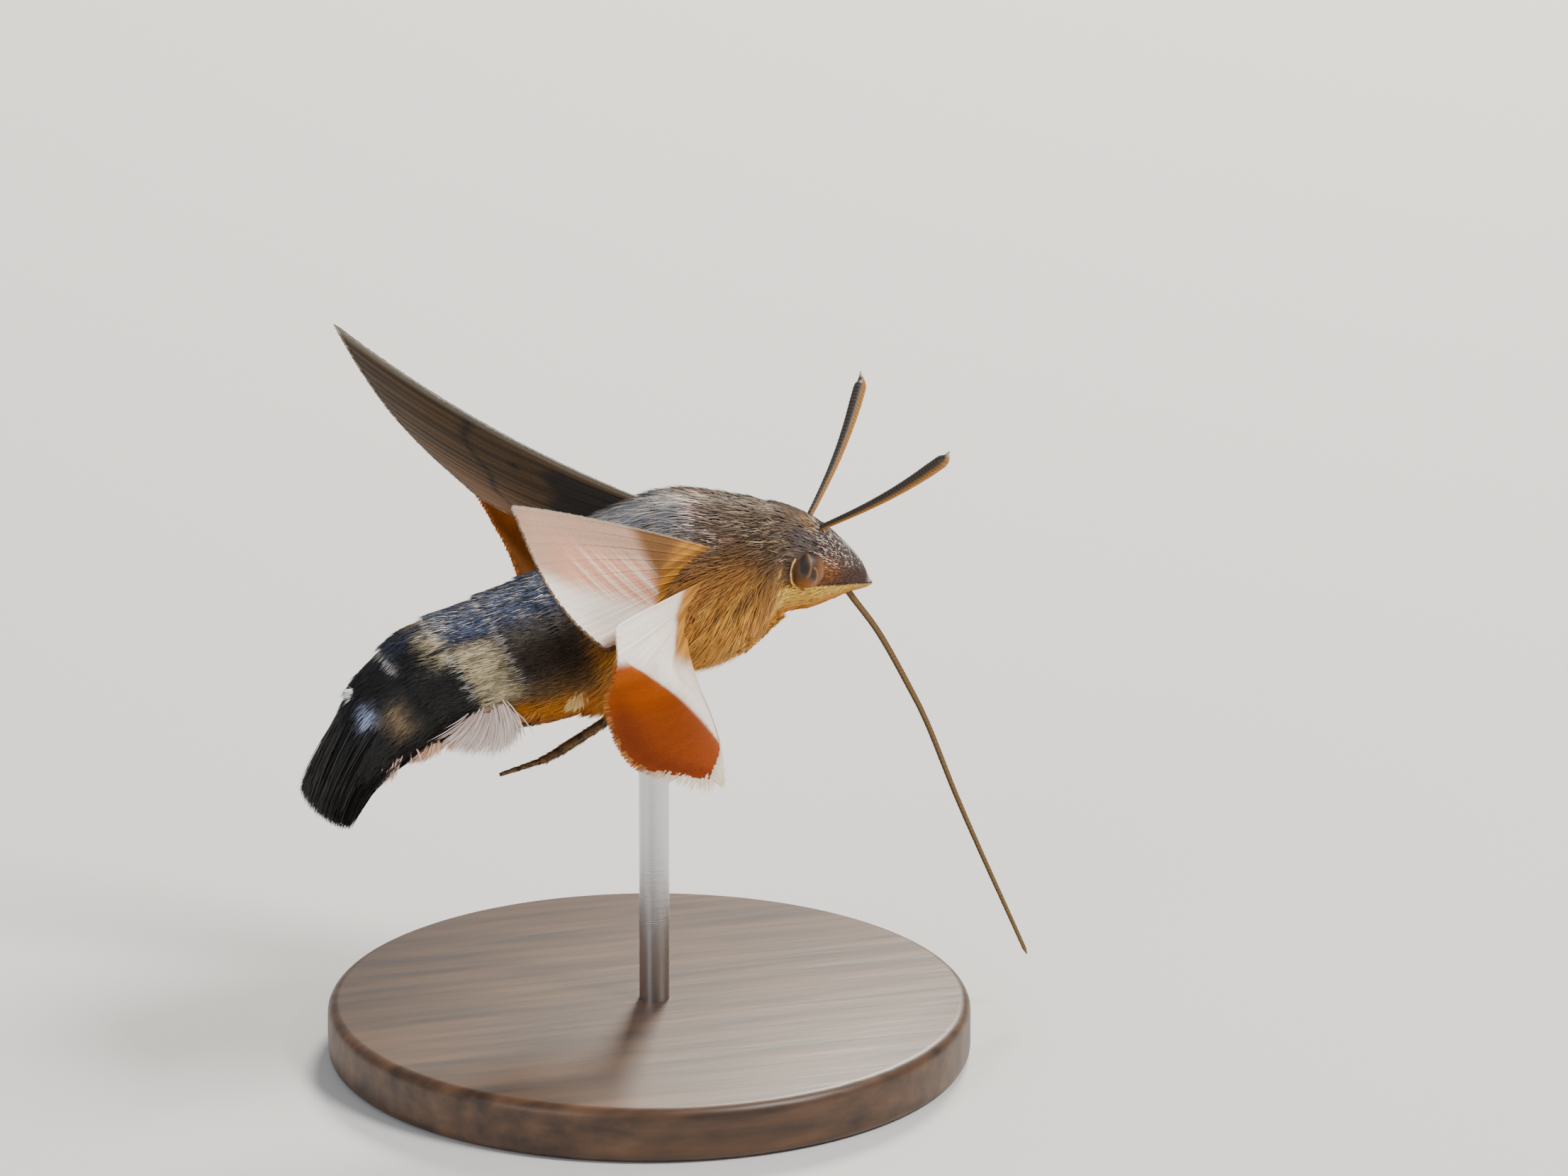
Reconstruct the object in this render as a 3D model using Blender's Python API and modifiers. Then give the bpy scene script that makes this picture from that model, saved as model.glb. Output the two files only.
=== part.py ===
"""A hummingbird hawk moth at life size, hovering with its wings raised, on a small display stand.

Metres, +Z up. The moth faces +X and its left side is at +Y. The origin is the centre of the
underside of the stand's base. Body, wings and limbs are laid out in millimetres from one point
on the middle of the back above the wing roots, which the empty named hawk_moth marks.
"""

import math
import random

import bmesh
import bpy
import numpy as np
from mathutils import Matrix, Vector

MM = 0.001
GAP = 0.3
BACK_X = 2.5
BACK_HEIGHT = 28.5

RIGHT, LEFT = -1, 1
SIDE_NAMES = {RIGHT: "right", LEFT: "left"}

# Stations along the body from the snout to the end of the tail: x and z of the centre, the tilt of
# the section in degrees, and its half width and half height, out to the tips of the coat.
BODY = np.array([
    (9.72, -3.62, 0, 0.24, 0.22),
    (9.14, -3.06, 0, 0.90, 0.90),
    (8.34, -2.58, 2, 1.52, 1.50),
    (7.35, -2.24, 1, 2.10, 2.13),
    (6.30, -2.01, 0, 2.50, 2.64),
    (5.20, -1.79, 0, 2.62, 2.98),
    (4.31, -1.78, 0, 2.75, 3.26),
    (2.99, -2.08, 0, 3.45, 3.98),
    (1.59, -2.35, 0, 4.00, 4.55),
    (0.21, -2.41, 0, 4.30, 4.85),
    (-1.29, -2.46, 0, 4.40, 4.93),
    (-2.74, -2.81, 3, 4.40, 4.95),
    (-4.29, -3.36, 7, 4.30, 4.88),
    (-5.65, -4.33, 13, 4.20, 4.62),
    (-6.67, -5.01, 20, 4.10, 4.20),
    (-7.95, -5.41, 22, 4.15, 4.10),
    (-9.57, -5.78, 23, 4.10, 3.93),
    (-11.32, -6.07, 26, 4.00, 3.68),
    (-12.88, -6.48, 28, 3.85, 3.62),
    (-14.32, -6.80, 32, 3.60, 3.32),
    (-15.48, -7.64, 38, 3.40, 3.10),
    (-16.82, -8.69, 44, 3.20, 2.75),
    (-18.09, -10.02, 52, 3.10, 2.10),
    (-19.07, -11.27, 62, 3.10, 1.60),
    (-19.93, -12.70, 68, 3.20, 1.20),
    (-20.22, -13.55, 74, 3.20, 0.90),
])
NECK, WAIST, RUMP, TAIL_END = 6, 13, 21, 25
BODY_SIDES = 24
ABDOMEN_SEGMENTS = 6
RUMP_CLEAR = 0.08

# The palps are the underside of the snout, parted from the head by this line in x and z.
PALP_LINE = ((4.95, -5.6), (4.95, -3.27), (8.60, -3.35), (10.5, -3.75), (10.5, -5.6))

EYE_CENTRE = (5.60, 1.90, -1.88)
EYE_RADII = (0.98, 0.92, 1.02)

ANTENNA_ROOT = (6.78, 1.15, 0.10)
ANTENNA_TIP = (11.76, 7.50, 5.50)
ANTENNA_BASE_RADIUS, ANTENNA_CLUB_RADIUS = 0.25, 0.35
ANTENNA_BOW, ANTENNA_HOOK = 0.3, 0.2
# Shares of the antenna's length at which the club is full, starts to taper, and turns to its hook.
CLUB_FULL, CLUB_END, HOOK_START = 0.8, 0.93, 0.975

PROBOSCIS = ((7.9, -3.0), (8.68, -4.24), (10.22, -6.47), (11.84, -9.51), (12.95, -11.85),
             (14.50, -15.85), (16.00, -19.42), (17.37, -22.57), (18.55, -25.30))
PROBOSCIS_RADIUS, PROBOSCIS_TIP_RADIUS = 0.27, 0.16

# The forewing's own frame: along the span, along the chord, and out of its underside.
WING_ROOT = np.array((-0.25, 3.70, 0.30))
SPAN_AXIS = np.array((-0.6887, 0.6252, 0.3672))
CHORD_AXIS = np.array((-0.0596, 0.4560, -0.8880))
UNDER_AXIS = np.array((0.7226, 0.6334, 0.2768))
# Rays of the forewing at its leading and its inner edge, as span, chord and height of the root, of
# the point that bends the ray, and of the end. The two wings bend differently in the stroke.
FOREWING_LEADING = {
    RIGHT: np.array(((-0.6, -0.1, 0.0), (10.1, -1.0, -1.5), (21.27, 0.0, 0.0))),
    LEFT: np.array(((-0.6, -0.1, 0.0), (10.1, 0.7, -1.5), (21.27, 0.0, 0.0))),
}
FOREWING_INNER = np.array(((0.3, 1.9, -2.5), (5.6, 5.2, -1.6), (10.7, 6.25, -0.85)))
FOREWING_CAMBER = -1.1
# How far the outer margin bulges between apex and inner corner, along the span and the chord.
TERMEN_BULGE = (0.72, 0.96)
# The left pair of wings is turned about its leading edge, as in a bank.
LEFT_WINGS_TURN = math.radians(-10)
FOREWING_VEINS = (0.0, 0.09, 0.19, 0.30, 0.42, 0.54, 0.66, 0.78, 0.89)

# Rays of the hindwing from its leading to its inner edge: root, middle, fold and margin. Beyond the
# fold the rear part curls in towards the body, as it trails in the upstroke.
HINDWING_RAYS = np.array((
    ((-0.35, 3.75, -1.25), (-4.55, 8.55, -0.72), (-7.70, 12.65, -0.15), (-8.45, 14.00, -0.12)),
    ((-1.05, 3.60, -2.25), (-5.10, 9.80, -1.89), (-8.16, 14.30, -1.44), (-8.65, 14.90, -1.30)),
    ((-1.35, 3.45, -3.10), (-4.16, 9.00, -2.75), (-6.27, 12.20, -3.19), (-6.72, 10.60, -4.03)),
    ((-1.50, 3.40, -3.75), (-3.35, 7.60, -4.42), (-4.02, 10.20, -5.23), (-7.40, 8.00, -6.46)),
    ((-1.40, 3.40, -4.20), (-2.63, 6.90, -5.23), (-2.26, 8.80, -7.18), (-5.86, 7.80, -9.78)),
    ((-1.40, 3.40, -4.70), (-1.85, 6.30, -5.50), (-0.83, 7.40, -9.13), (-1.19, 8.00, -11.08)),
))
HINDWING_VEINS = (0.0, 0.17, 0.34, 0.51, 0.68, 0.84)

MEMBRANE, VEIN = 0.50, 0.78
VEIN_HALF_WIDTH = 0.018
FOREWING_ROWS, HINDWING_ROWS = 9, 12

# Each leg runs hip, knee, end of the shin, tip of the foot. The left hind leg is tucked up.
LEG_FRONT = ((2.9, 1.5, -5.3), (4.1, 1.9, -4.3), (2.4, 1.3, -6.15), (0.6, 1.0, -7.0))
LEG_MIDDLE = ((0.6, 2.0, -6.2), (2.2, 2.7, -5.2), (-0.6, 2.3, -6.45), (-3.9, 2.2, -7.7))
LEG_HIND = ((-2.6, 1.2, -7.3), (-5.4, 1.3, -9.5), (-8.4, 1.3, -11.1), (-11.0, 1.3, -11.75))
LEG_HIND_TUCKED = ((-2.6, 1.2, -7.3), (-5.3, 1.5, -9.35), (-8.1, 1.6, -10.0), (-10.6, 1.6, -10.3))
LEGS = {
    "leg_front_right": (LEG_FRONT, RIGHT),
    "leg_front_left": (LEG_FRONT, LEFT),
    "leg_middle_right": (LEG_MIDDLE, RIGHT),
    "leg_middle_left": (LEG_MIDDLE, LEFT),
    "leg_hind_right": (LEG_HIND, RIGHT),
    "leg_hind_left": (LEG_HIND_TUCKED, LEFT),
}
LEG_RADII = (0.42, 0.38, 0.30, 0.20)
LEG_SWELL = 0.05

# Side tufts of the abdomen: station, locks, length and how far they stand out from the flank.
SIDE_TUFTS = (
    (14.6, 3, 1.9, 0.35),
    (16.1, 3, 2.2, 0.45),
    (17.7, 4, 2.9, 0.95),
    (19.0, 3, 2.4, 0.60),
    (20.3, 3, 2.2, 0.50),
)
TUFT_TURN, TUFT_FAN = math.radians(118), 0.17
TUFT_LOCK_WIDTH, TUFT_LOCK_THICKNESS = 1.5, 0.5
TUFT_ROOT_DEPTH, TUFT_ROOT_SET_BACK = 0.55, 0.45
# Places along a lock, and its width at its root and at each of them.
TUFT_PLACES = (0.12, 0.4, 0.7, 1.0)
TUFT_TAPER = (0.8, 1.0, 0.95, 0.6, 0.14)

# The tail fan: vanes in three tiers, each tier's height in the fan, count, and reach of its tips.
TAIL_TIERS = ((0.72, 7, 24.75), (0.05, 8, 25.0), (-0.68, 7, 24.55))
TAIL_CORE_END, TAIL_CORE_SIZE = 22.6, 0.62
VANE_WIDTH, VANE_THICKNESS = 1.25, 0.55
# Stations along a vane before its tip, its width at each and at the tip, and how far its root
# stands in from the outside of the fan, across and in height.
VANE_STATIONS = (21.35, 22.2, 23.1, 24.1)
VANE_TAPER = (0.7, 1.0, 1.0, 0.85, 0.2)
VANE_ROOT_ACROSS, VANE_ROOT_HEIGHT = 0.86, 0.75

STAND_BASE_RADIUS, STAND_BASE_THICKNESS, STAND_BASE_BEVEL = 17.0, 3.0, 0.6
STAND_ROD_RADIUS, STAND_ROD_X = 0.8, -2.2


def material(name, colour, roughness, metallic=0.0):
    made = bpy.data.materials.new(name)
    made.use_nodes = True
    shader = made.node_tree.nodes["Principled BSDF"]
    shader.inputs["Base Color"].default_value = (*colour, 1.0)
    shader.inputs["Roughness"].default_value = roughness
    shader.inputs["Metallic"].default_value = metallic
    return made


def clear_scene():
    for old in list(bpy.data.objects):
        bpy.data.objects.remove(old, do_unlink=True)


def new_object(name, mesh, collection, parent=None):
    piece = bpy.data.objects.new(name, mesh)
    collection.objects.link(piece)
    piece.parent = parent
    return piece


def through(rows, t):
    """The point at t on the smooth curve that passes through every row."""
    rows = np.asarray(rows, float)
    last = len(rows) - 1
    t = min(max(t, 0.0), last)
    i = min(int(t), last - 1)
    f = t - i
    before = rows[i - 1] if i > 0 else 2 * rows[0] - rows[1]
    after = rows[i + 2] if i + 2 <= last else 2 * rows[last] - rows[last - 1]
    a, b = rows[i], rows[i + 1]
    return a + 0.5 * f * (
        b - before + f * (2 * before - 5 * a + 4 * b - after + f * (3 * (a - b) + after - before))
    )


def mesh_from(name, points, faces):
    mesh = bpy.data.meshes.new(name)
    mesh.from_pydata([Vector(p) * MM for p in points], [], faces)
    mesh.update()
    return mesh


def body_frame(t):
    """Centre, backward axis, underside axis, half width and half height of the body's section."""
    x, z, tilt, half_width, half_height = through(BODY, t)
    lean = math.radians(tilt)
    back = np.array((-math.cos(lean), 0.0, -math.sin(lean)))
    under = np.array((math.sin(lean), 0.0, -math.cos(lean)))
    return np.array((x, 0.0, z)), back, under, half_width, half_height


def body_ring(t, grow=0.0, swell=1.0, shift=0.0):
    centre, back, under, half_width, half_height = body_frame(t)
    centre = centre + back * shift
    ring = []
    for i in range(BODY_SIDES):
        turn = 2 * math.pi * i / BODY_SIDES
        across = (half_width * swell + grow) * math.sin(turn)
        down = -(half_height * swell + grow) * math.cos(turn)
        ring.append(centre + across * np.array((0.0, 1.0, 0.0)) + down * under)
    return ring


def closed_loft(name, rings):
    """A closed solid through rings of equal count, with a fan at each end."""
    points = [p for ring in rings for p in ring]
    sides, last = len(rings[0]), len(rings) - 1
    faces = []
    for row in range(last):
        for i in range(sides):
            j = (i + 1) % sides
            a, b = row * sides + i, row * sides + j
            faces += [(a, b, b + sides), (a, b + sides, a + sides)]
    for row, flip in ((0, True), (last, False)):
        points.append(sum(rings[row]) / sides)
        hub = len(points) - 1
        for i in range(sides):
            a, b = row * sides + i, row * sides + (i + 1) % sides
            faces.append((hub, b, a) if flip else (hub, a, b))
    mesh = mesh_from(name, points, faces)
    tidy(mesh)
    return mesh


def tidy(mesh):
    """Merges doubled points, keeps the largest closed surface and turns its faces outwards."""
    work = bmesh.new()
    work.from_mesh(mesh)
    bmesh.ops.remove_doubles(work, verts=work.verts, dist=1e-7)
    bmesh.ops.dissolve_degenerate(work, edges=work.edges, dist=1e-7)
    unseen = set(work.verts)
    islands = []
    while unseen:
        front = [unseen.pop()]
        island = set(front)
        while front:
            for edge in front.pop().link_edges:
                for vert in edge.verts:
                    if vert in unseen:
                        unseen.discard(vert)
                        island.add(vert)
                        front.append(vert)
        islands.append(island)
    largest = max(islands, key=lambda island: extent(island))
    bmesh.ops.delete(work, geom=[v for v in work.verts if v not in largest], context="VERTS")
    bmesh.ops.triangulate(work, faces=work.faces)
    bmesh.ops.recalc_face_normals(work, faces=work.faces)
    work.to_mesh(mesh)
    work.free()


def extent(verts):
    """The volume of the box round the points."""
    places = np.array([vert.co for vert in verts])
    return float(np.prod(np.ptp(places, axis=0) + 1e-6))


def applied(piece, operation, others, solver="EXACT"):
    """Joins or cuts the piece with the other closed meshes, and removes them."""
    helpers = bpy.data.collections.new("cutters")
    bpy.context.scene.collection.children.link(helpers)
    for other in others:
        for home in list(other.users_collection):
            home.objects.unlink(other)
        helpers.objects.link(other)
        other.hide_render = True
        other.display_type = "WIRE"
    boolean = piece.modifiers.new(operation.lower(), "BOOLEAN")
    boolean.operation = operation
    boolean.solver = solver
    boolean.operand_type = "COLLECTION"
    boolean.collection = helpers
    graph = bpy.context.evaluated_depsgraph_get()
    graph.update()
    result = bpy.data.meshes.new_from_object(piece.evaluated_get(graph))
    piece.modifiers.clear()
    result.name = piece.name
    piece.data = result
    tidy(result)
    for other in list(helpers.objects):
        bpy.data.objects.remove(other, do_unlink=True)
    bpy.data.collections.remove(helpers)


def sheet_mesh(name, grid, weights):
    """A closed thin wall on a grid of points, thicker where the weights say."""
    rows, columns = len(grid), len(grid[0])
    points = [p for row in grid for p in row]
    faces = []
    for r in range(rows - 1):
        for c in range(columns - 1):
            a = r * columns + c
            faces += [(a, a + 1, a + columns + 1), (a, a + columns + 1, a + columns)]
    piece = bpy.data.objects.new(name, mesh_from(name, points, faces))
    bpy.context.scene.collection.objects.link(piece)
    group = piece.vertex_groups.new(name="veins")
    for i, weight in enumerate(w for row in weights for w in row):
        group.add([i], weight, "REPLACE")
    wall = piece.modifiers.new("membrane", "SOLIDIFY")
    wall.thickness = VEIN * MM
    wall.offset = 0.0
    wall.vertex_group = group.name
    graph = bpy.context.evaluated_depsgraph_get()
    graph.update()
    mesh = bpy.data.meshes.new_from_object(piece.evaluated_get(graph))
    mesh.name = name
    bpy.data.objects.remove(piece, do_unlink=True)
    tidy(mesh)
    return mesh


def tube_mesh(name, points, radii, sides_resolution=2):
    """A closed round tube along the points, in millimetres, tapering as the radii do."""
    curve = bpy.data.curves.new(name, "CURVE")
    curve.dimensions = "3D"
    curve.bevel_depth = MM
    curve.bevel_resolution = sides_resolution
    curve.use_fill_caps = True
    spline = curve.splines.new("POLY")
    spline.points.add(len(points) - 1)
    for point, place, radius in zip(spline.points, points, radii):
        point.co = (*[c * MM for c in place], 1.0)
        point.radius = radius
    piece = bpy.data.objects.new(name, curve)
    bpy.context.scene.collection.objects.link(piece)
    graph = bpy.context.evaluated_depsgraph_get()
    graph.update()
    mesh = bpy.data.meshes.new_from_object(piece.evaluated_get(graph))
    mesh.name = name
    bpy.data.objects.remove(piece, do_unlink=True)
    bpy.data.curves.remove(curve)
    tidy(mesh)
    return mesh


def lock_mesh(name, path, half_widths, flat_axes, thickness):
    """A flat tapered lock or vane along a path, lens shaped across."""
    rings = []
    last = len(path) - 1
    for i, (place, half_width, across) in enumerate(zip(path, half_widths, flat_axes)):
        along = path[min(i + 1, last)] - path[max(i - 1, 0)]
        along = along / np.linalg.norm(along)
        across = across - along * across.dot(along)
        across = across / np.linalg.norm(across)
        out = np.cross(along, across)
        half_depth = min(thickness / 2, half_width)
        rings.append([
            place + across * half_width,
            place + across * half_width * 0.4 + out * half_depth,
            place - across * half_width * 0.4 + out * half_depth,
            place - across * half_width,
            place - across * half_width * 0.4 - out * half_depth,
            place + across * half_width * 0.4 - out * half_depth,
        ])
    return closed_loft(name, rings)


def to_collection(piece):
    for home in list(piece.users_collection):
        home.objects.unlink(piece)
    collection.objects.link(piece)


def mirrored(points, side):
    return [np.array((p[0], p[1] * side, p[2])) for p in points]


def steps(first, last, count):
    return [first + (last - first) * i / count for i in range(count + 1)]


def helper(mesh):
    piece = bpy.data.objects.new(mesh.name, mesh)
    bpy.context.scene.collection.objects.link(piece)
    piece.parent = moth
    return piece


def head_rings(grow=0.0):
    rings = [body_ring(t, grow, 1.0, -grow if t == 0 else 0.0) for t in steps(0, NECK - 0.02, 14)]
    rings[-1] = body_ring(NECK, grow, 1.0, grow - GAP / 2)
    return rings


def palp_block(name, grow, side=None):
    """A block round the underside of the snout, on both sides or on one side of the middle."""
    low, high = (-4.0, 4.0) if side is None else sorted((side * GAP / 2, side * 4.0))
    middle = np.mean(PALP_LINE, axis=0)
    outline = []
    for x, z in PALP_LINE:
        outline.append((x + math.copysign(grow, x - middle[0]), z + math.copysign(grow, z - middle[1])))
    rings = [[np.array((x, y, z)) for x, z in outline] for y in (low, high)]
    return helper(closed_loft(name, rings))


def eye_sphere(name, side, grow=0.0):
    bpy.ops.mesh.primitive_uv_sphere_add(segments=16, ring_count=10, radius=1.0)
    piece = bpy.context.object
    x, y, z = EYE_CENTRE
    for vert in piece.data.vertices:
        vert.co.x = (x + vert.co.x * (EYE_RADII[0] + grow)) * MM
        vert.co.y = (y * side + vert.co.y * (EYE_RADII[1] + grow)) * MM
        vert.co.z = (z + vert.co.z * (EYE_RADII[2] + grow)) * MM
    piece.name = piece.data.name = name
    piece.parent = moth
    return piece


def make_head():
    head = new_object("head", closed_loft("head", head_rings()), collection, moth)
    sockets = [eye_sphere("socket", side, GAP) for side in (RIGHT, LEFT)]
    applied(head, "DIFFERENCE", [palp_block("palp_room", GAP), *sockets])
    finish(head, brown)
    for side in (RIGHT, LEFT):
        eye = eye_sphere("eye_" + SIDE_NAMES[side], side)
        to_collection(eye)
        tidy(eye.data)
        finish(eye, eye_brown)
        palp = new_object("palp_" + SIDE_NAMES[side], closed_loft("palp", head_rings()), collection, moth)
        applied(palp, "INTERSECT", [palp_block("palp_block", 0.0, side)])
        finish(palp, cream)


def thorax_ring_places():
    return [NECK, NECK + 0.35, *steps(NECK + 1, WAIST - 1, 8), WAIST - 0.35, WAIST]


def thorax_mesh(name, grow=0.0):
    rings = []
    for t in thorax_ring_places():
        shift = (GAP / 2 - grow) * ((t == NECK) - (t == WAIST))
        rings.append(body_ring(t, grow, 1.0, shift))
    return closed_loft(name, rings)


def leg_mesh(name, leg, grow=0.0):
    """Thigh, shin and foot, each a tapered tube that reaches a little past its joints."""
    joints = mirrored(*LEGS[leg])
    lengths = []
    for i in range(3):
        start, end = joints[i], joints[i + 1]
        reach = (end - start) / np.linalg.norm(end - start)
        first, last = LEG_RADII[i] + grow, LEG_RADII[i + 1] + grow
        points, radii = [], []
        for place, radius in (
            (start - reach * first * 0.7, first * 0.45), (start - reach * first * 0.35, first * 0.85),
            (start, first), (start * 0.5 + end * 0.5, (first + last) / 2 + LEG_SWELL),
            (end, last), (end + reach * last * 0.7, last * 0.45),
        ):
            points.append(place)
            radii.append(radius)
        lengths.append(helper(tube_mesh(name, points, radii)))
    whole = lengths[0]
    applied(whole, "UNION", lengths[1:], "MANIFOLD")
    return whole


def make_thorax():
    thorax = new_object("thorax", thorax_mesh("thorax"), collection, moth)
    for leg in LEGS:
        applied(thorax, "DIFFERENCE", [leg_mesh("leg_room", leg, GAP)], "MANIFOLD")
    finish(thorax, brown)


def make_legs():
    for leg in LEGS:
        piece = leg_mesh("leg", leg)
        piece.name = piece.data.name = leg
        to_collection(piece)
        finish(piece, brown)


def abdomen_mesh(name):
    """Each segment swells towards its rear edge and steps in at the start of the next."""
    rings = [body_ring(WAIST, 0.0, 0.97, GAP / 2)]
    length = (RUMP - WAIST) / ABDOMEN_SEGMENTS
    for segment in range(ABDOMEN_SEGMENTS):
        start = WAIST + segment * length
        for part, swell in ((0.12, 0.985), (0.5, 1.0), (0.94, 1.02)):
            if segment == ABDOMEN_SEGMENTS - 1 and part > 0.9:
                continue
            rings.append(body_ring(start + part * length, 0.0, swell))
    rings.append(body_ring(RUMP, 0.0, 1.0, -GAP / 2))
    return closed_loft(name, rings)


def flank(t, turn, side):
    """A point on the flank, with the directions backward, outward and along the girth there."""
    centre, back, under, half_width, half_height = body_frame(t)
    across = np.array((0.0, side, 0.0))
    place = centre + across * half_width * math.sin(turn) - under * half_height * math.cos(turn)
    out = across * math.sin(turn) / half_width - under * math.cos(turn) / half_height
    out = out / np.linalg.norm(out)
    girth = np.cross(back, out)
    return place, back, out, girth


def tuft_lock(t, turn, side, length, flare, bend):
    """One flat lock that leaves the flank backwards, stands out by its flare and bends back in."""
    place, back, out, girth = flank(t, turn, side)
    lean = out * flare + girth * bend
    path = [place - out * TUFT_ROOT_DEPTH - back * TUFT_ROOT_SET_BACK]
    for f in TUFT_PLACES:
        path.append(place + back * length * f + lean * length * (f - 0.25 * f * f) - out * 0.1 * (1 - f))
    widths = [TUFT_LOCK_WIDTH / 2 * taper for taper in TUFT_TAPER]
    return lock_mesh("tuft", path, widths, [girth] * len(path), TUFT_LOCK_THICKNESS)


def make_abdomen():
    abdomen = new_object("abdomen", abdomen_mesh("abdomen"), collection, moth)
    draw = random.Random(7)
    locks = []
    for side in (RIGHT, LEFT):
        for station, count, length, flare in SIDE_TUFTS:
            for i in range(count):
                fan = i - (count - 1) / 2
                turn = TUFT_TURN + fan * TUFT_FAN + draw.uniform(-0.02, 0.02)
                reach = length * draw.uniform(0.85, 1.0)
                t = station - RUMP_CLEAR * abs(fan)
                locks.append(helper(tuft_lock(t, turn, side, reach, flare, side * fan * 0.12)))
    applied(abdomen, "UNION", locks, "MANIFOLD")
    for leg in ("leg_hind_right", "leg_hind_left"):
        applied(abdomen, "DIFFERENCE", [leg_mesh("leg_room", leg, GAP)], "MANIFOLD")
    finish(abdomen, black)


def tail_point(t, across, height):
    centre, back, under, half_width, half_height = body_frame(t)
    return centre + np.array((0.0, 1.0, 0.0)) * across * half_width - under * height * half_height


def tail_vane(across, height, reach):
    """One flat vane from inside the fan's core out to its tip, wider than it is thick."""
    path, axes = [], []
    for t in (*VANE_STATIONS, reach):
        f = (t - RUMP) / (TAIL_END - RUMP)
        spread = VANE_ROOT_ACROSS * (1 - f) + f
        rise = VANE_ROOT_HEIGHT * (1 - f) + f
        path.append(tail_point(t, across * spread, height * rise))
        arch = across * abs(height)
        axes.append(tail_point(t, 1.0, height - 0.25 * arch) - tail_point(t, 0.0, height))
    widths = [VANE_WIDTH / 2 * taper for taper in VANE_TAPER]
    return lock_mesh("vane", path, widths, axes, VANE_THICKNESS)


def make_tail():
    rings = [body_ring(RUMP, 0.0, 1.0, GAP / 2)]
    for t in steps(RUMP + 0.35, TAIL_CORE_END, 3):
        shrink = (t - RUMP) / (TAIL_CORE_END - RUMP)
        rings.append(body_ring(t, 0.0, 1.0 - (1.0 - TAIL_CORE_SIZE) * shrink))
    tail = new_object("tail_fan", closed_loft("tail_fan", rings), collection, moth)
    draw = random.Random(3)
    vanes = []
    for height, count, reach in TAIL_TIERS:
        for i in range(count):
            across = (2 * (i + 0.5) / count - 1) * 0.92
            tip = reach - 0.35 * across * across - draw.uniform(0.0, 0.25)
            lean = height * math.sqrt(max(0.0, 1.0 - 0.75 * across * across))
            vanes.append(helper(tail_vane(across, lean, tip)))
    applied(tail, "UNION", vanes, "MANIFOLD")
    finish(tail, black)


def antenna_points(side):
    root, tip = (np.array((p[0], p[1] * side, p[2])) for p in (ANTENNA_ROOT, ANTENNA_TIP))
    run = tip - root
    bow = np.cross(run, np.array((0.0, -1.0, 0.0)))
    bow = bow / np.linalg.norm(bow)
    points, radii = [root - run * 0.04], [ANTENNA_BASE_RADIUS]
    for f in steps(0.0, CLUB_END, 9):
        points.append(root + run * f + bow * ANTENNA_BOW * math.sin(math.pi * f))
        club = min(1.0, f / CLUB_FULL) ** 1.3
        radii.append(ANTENNA_BASE_RADIUS + (ANTENNA_CLUB_RADIUS - ANTENNA_BASE_RADIUS) * club)
    points.append(root + run * HOOK_START)
    radii.append(ANTENNA_CLUB_RADIUS * 0.62)
    points.append(tip - bow * ANTENNA_HOOK)
    radii.append(ANTENNA_CLUB_RADIUS * 0.3)
    return points, radii


def make_antennae():
    for side in (RIGHT, LEFT):
        points, radii = antenna_points(side)
        name = "antenna_" + SIDE_NAMES[side]
        antenna = new_object(name, tube_mesh(name, points, radii), collection, moth)
        applied(antenna, "DIFFERENCE", [helper(closed_loft("head_room", head_rings(GAP)))])
        finish(antenna, brown)


def make_proboscis():
    route = [(x, 0.0, z) for x, z in PROBOSCIS]
    last = len(route) - 1
    points = [through(route, t) for t in steps(0, last, 24)]
    radii = [
        PROBOSCIS_RADIUS + (PROBOSCIS_TIP_RADIUS - PROBOSCIS_RADIUS) * i / (len(points) - 1)
        for i in range(len(points))
    ]
    proboscis = new_object("proboscis", tube_mesh("proboscis", points, radii), collection, moth)
    applied(proboscis, "DIFFERENCE", [helper(closed_loft("head_room", head_rings(GAP)))])
    finish(proboscis, dark)


def forewing_point(m, t, side):
    """A point on the ray m of the forewing, from leading edge 0 to inner edge 1, at t along it."""
    root, bend, end = FOREWING_LEADING[side] * (1 - m) + FOREWING_INNER * m
    end = end + np.array((*TERMEN_BULGE, 0.0)) * math.sin(math.pi * m)
    bend = bend + np.array((0.0, 0.0, FOREWING_CAMBER)) * math.sin(math.pi * m)
    span, chord, height = (1 - t) ** 2 * root + 2 * t * (1 - t) * bend + t * t * end
    return WING_ROOT + span * SPAN_AXIS + chord * CHORD_AXIS + height * UNDER_AXIS


def hindwing_point(m, t, side):
    """A point on the ray m of the hindwing, alike on both sides, at t along it."""
    rays = [through(ray, 3 * t) for ray in HINDWING_RAYS]
    return through(rays, (len(rays) - 1) * m)


def ray_places(veins):
    """Where the rays of points run, three to a vein, and how thick the wall is on each."""
    membrane = MEMBRANE / VEIN
    places = []
    for vein in veins:
        if vein > 0:
            places.append((vein - VEIN_HALF_WIDTH, membrane))
        places.append((vein, 1.0))
        places.append((vein + VEIN_HALF_WIDTH, membrane))
    places.append((1.0, membrane))
    return places


def banked(point):
    turn = np.array(Matrix.Rotation(LEFT_WINGS_TURN, 3, Vector(SPAN_AXIS)))
    return WING_ROOT + turn @ (point - WING_ROOT)


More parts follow.
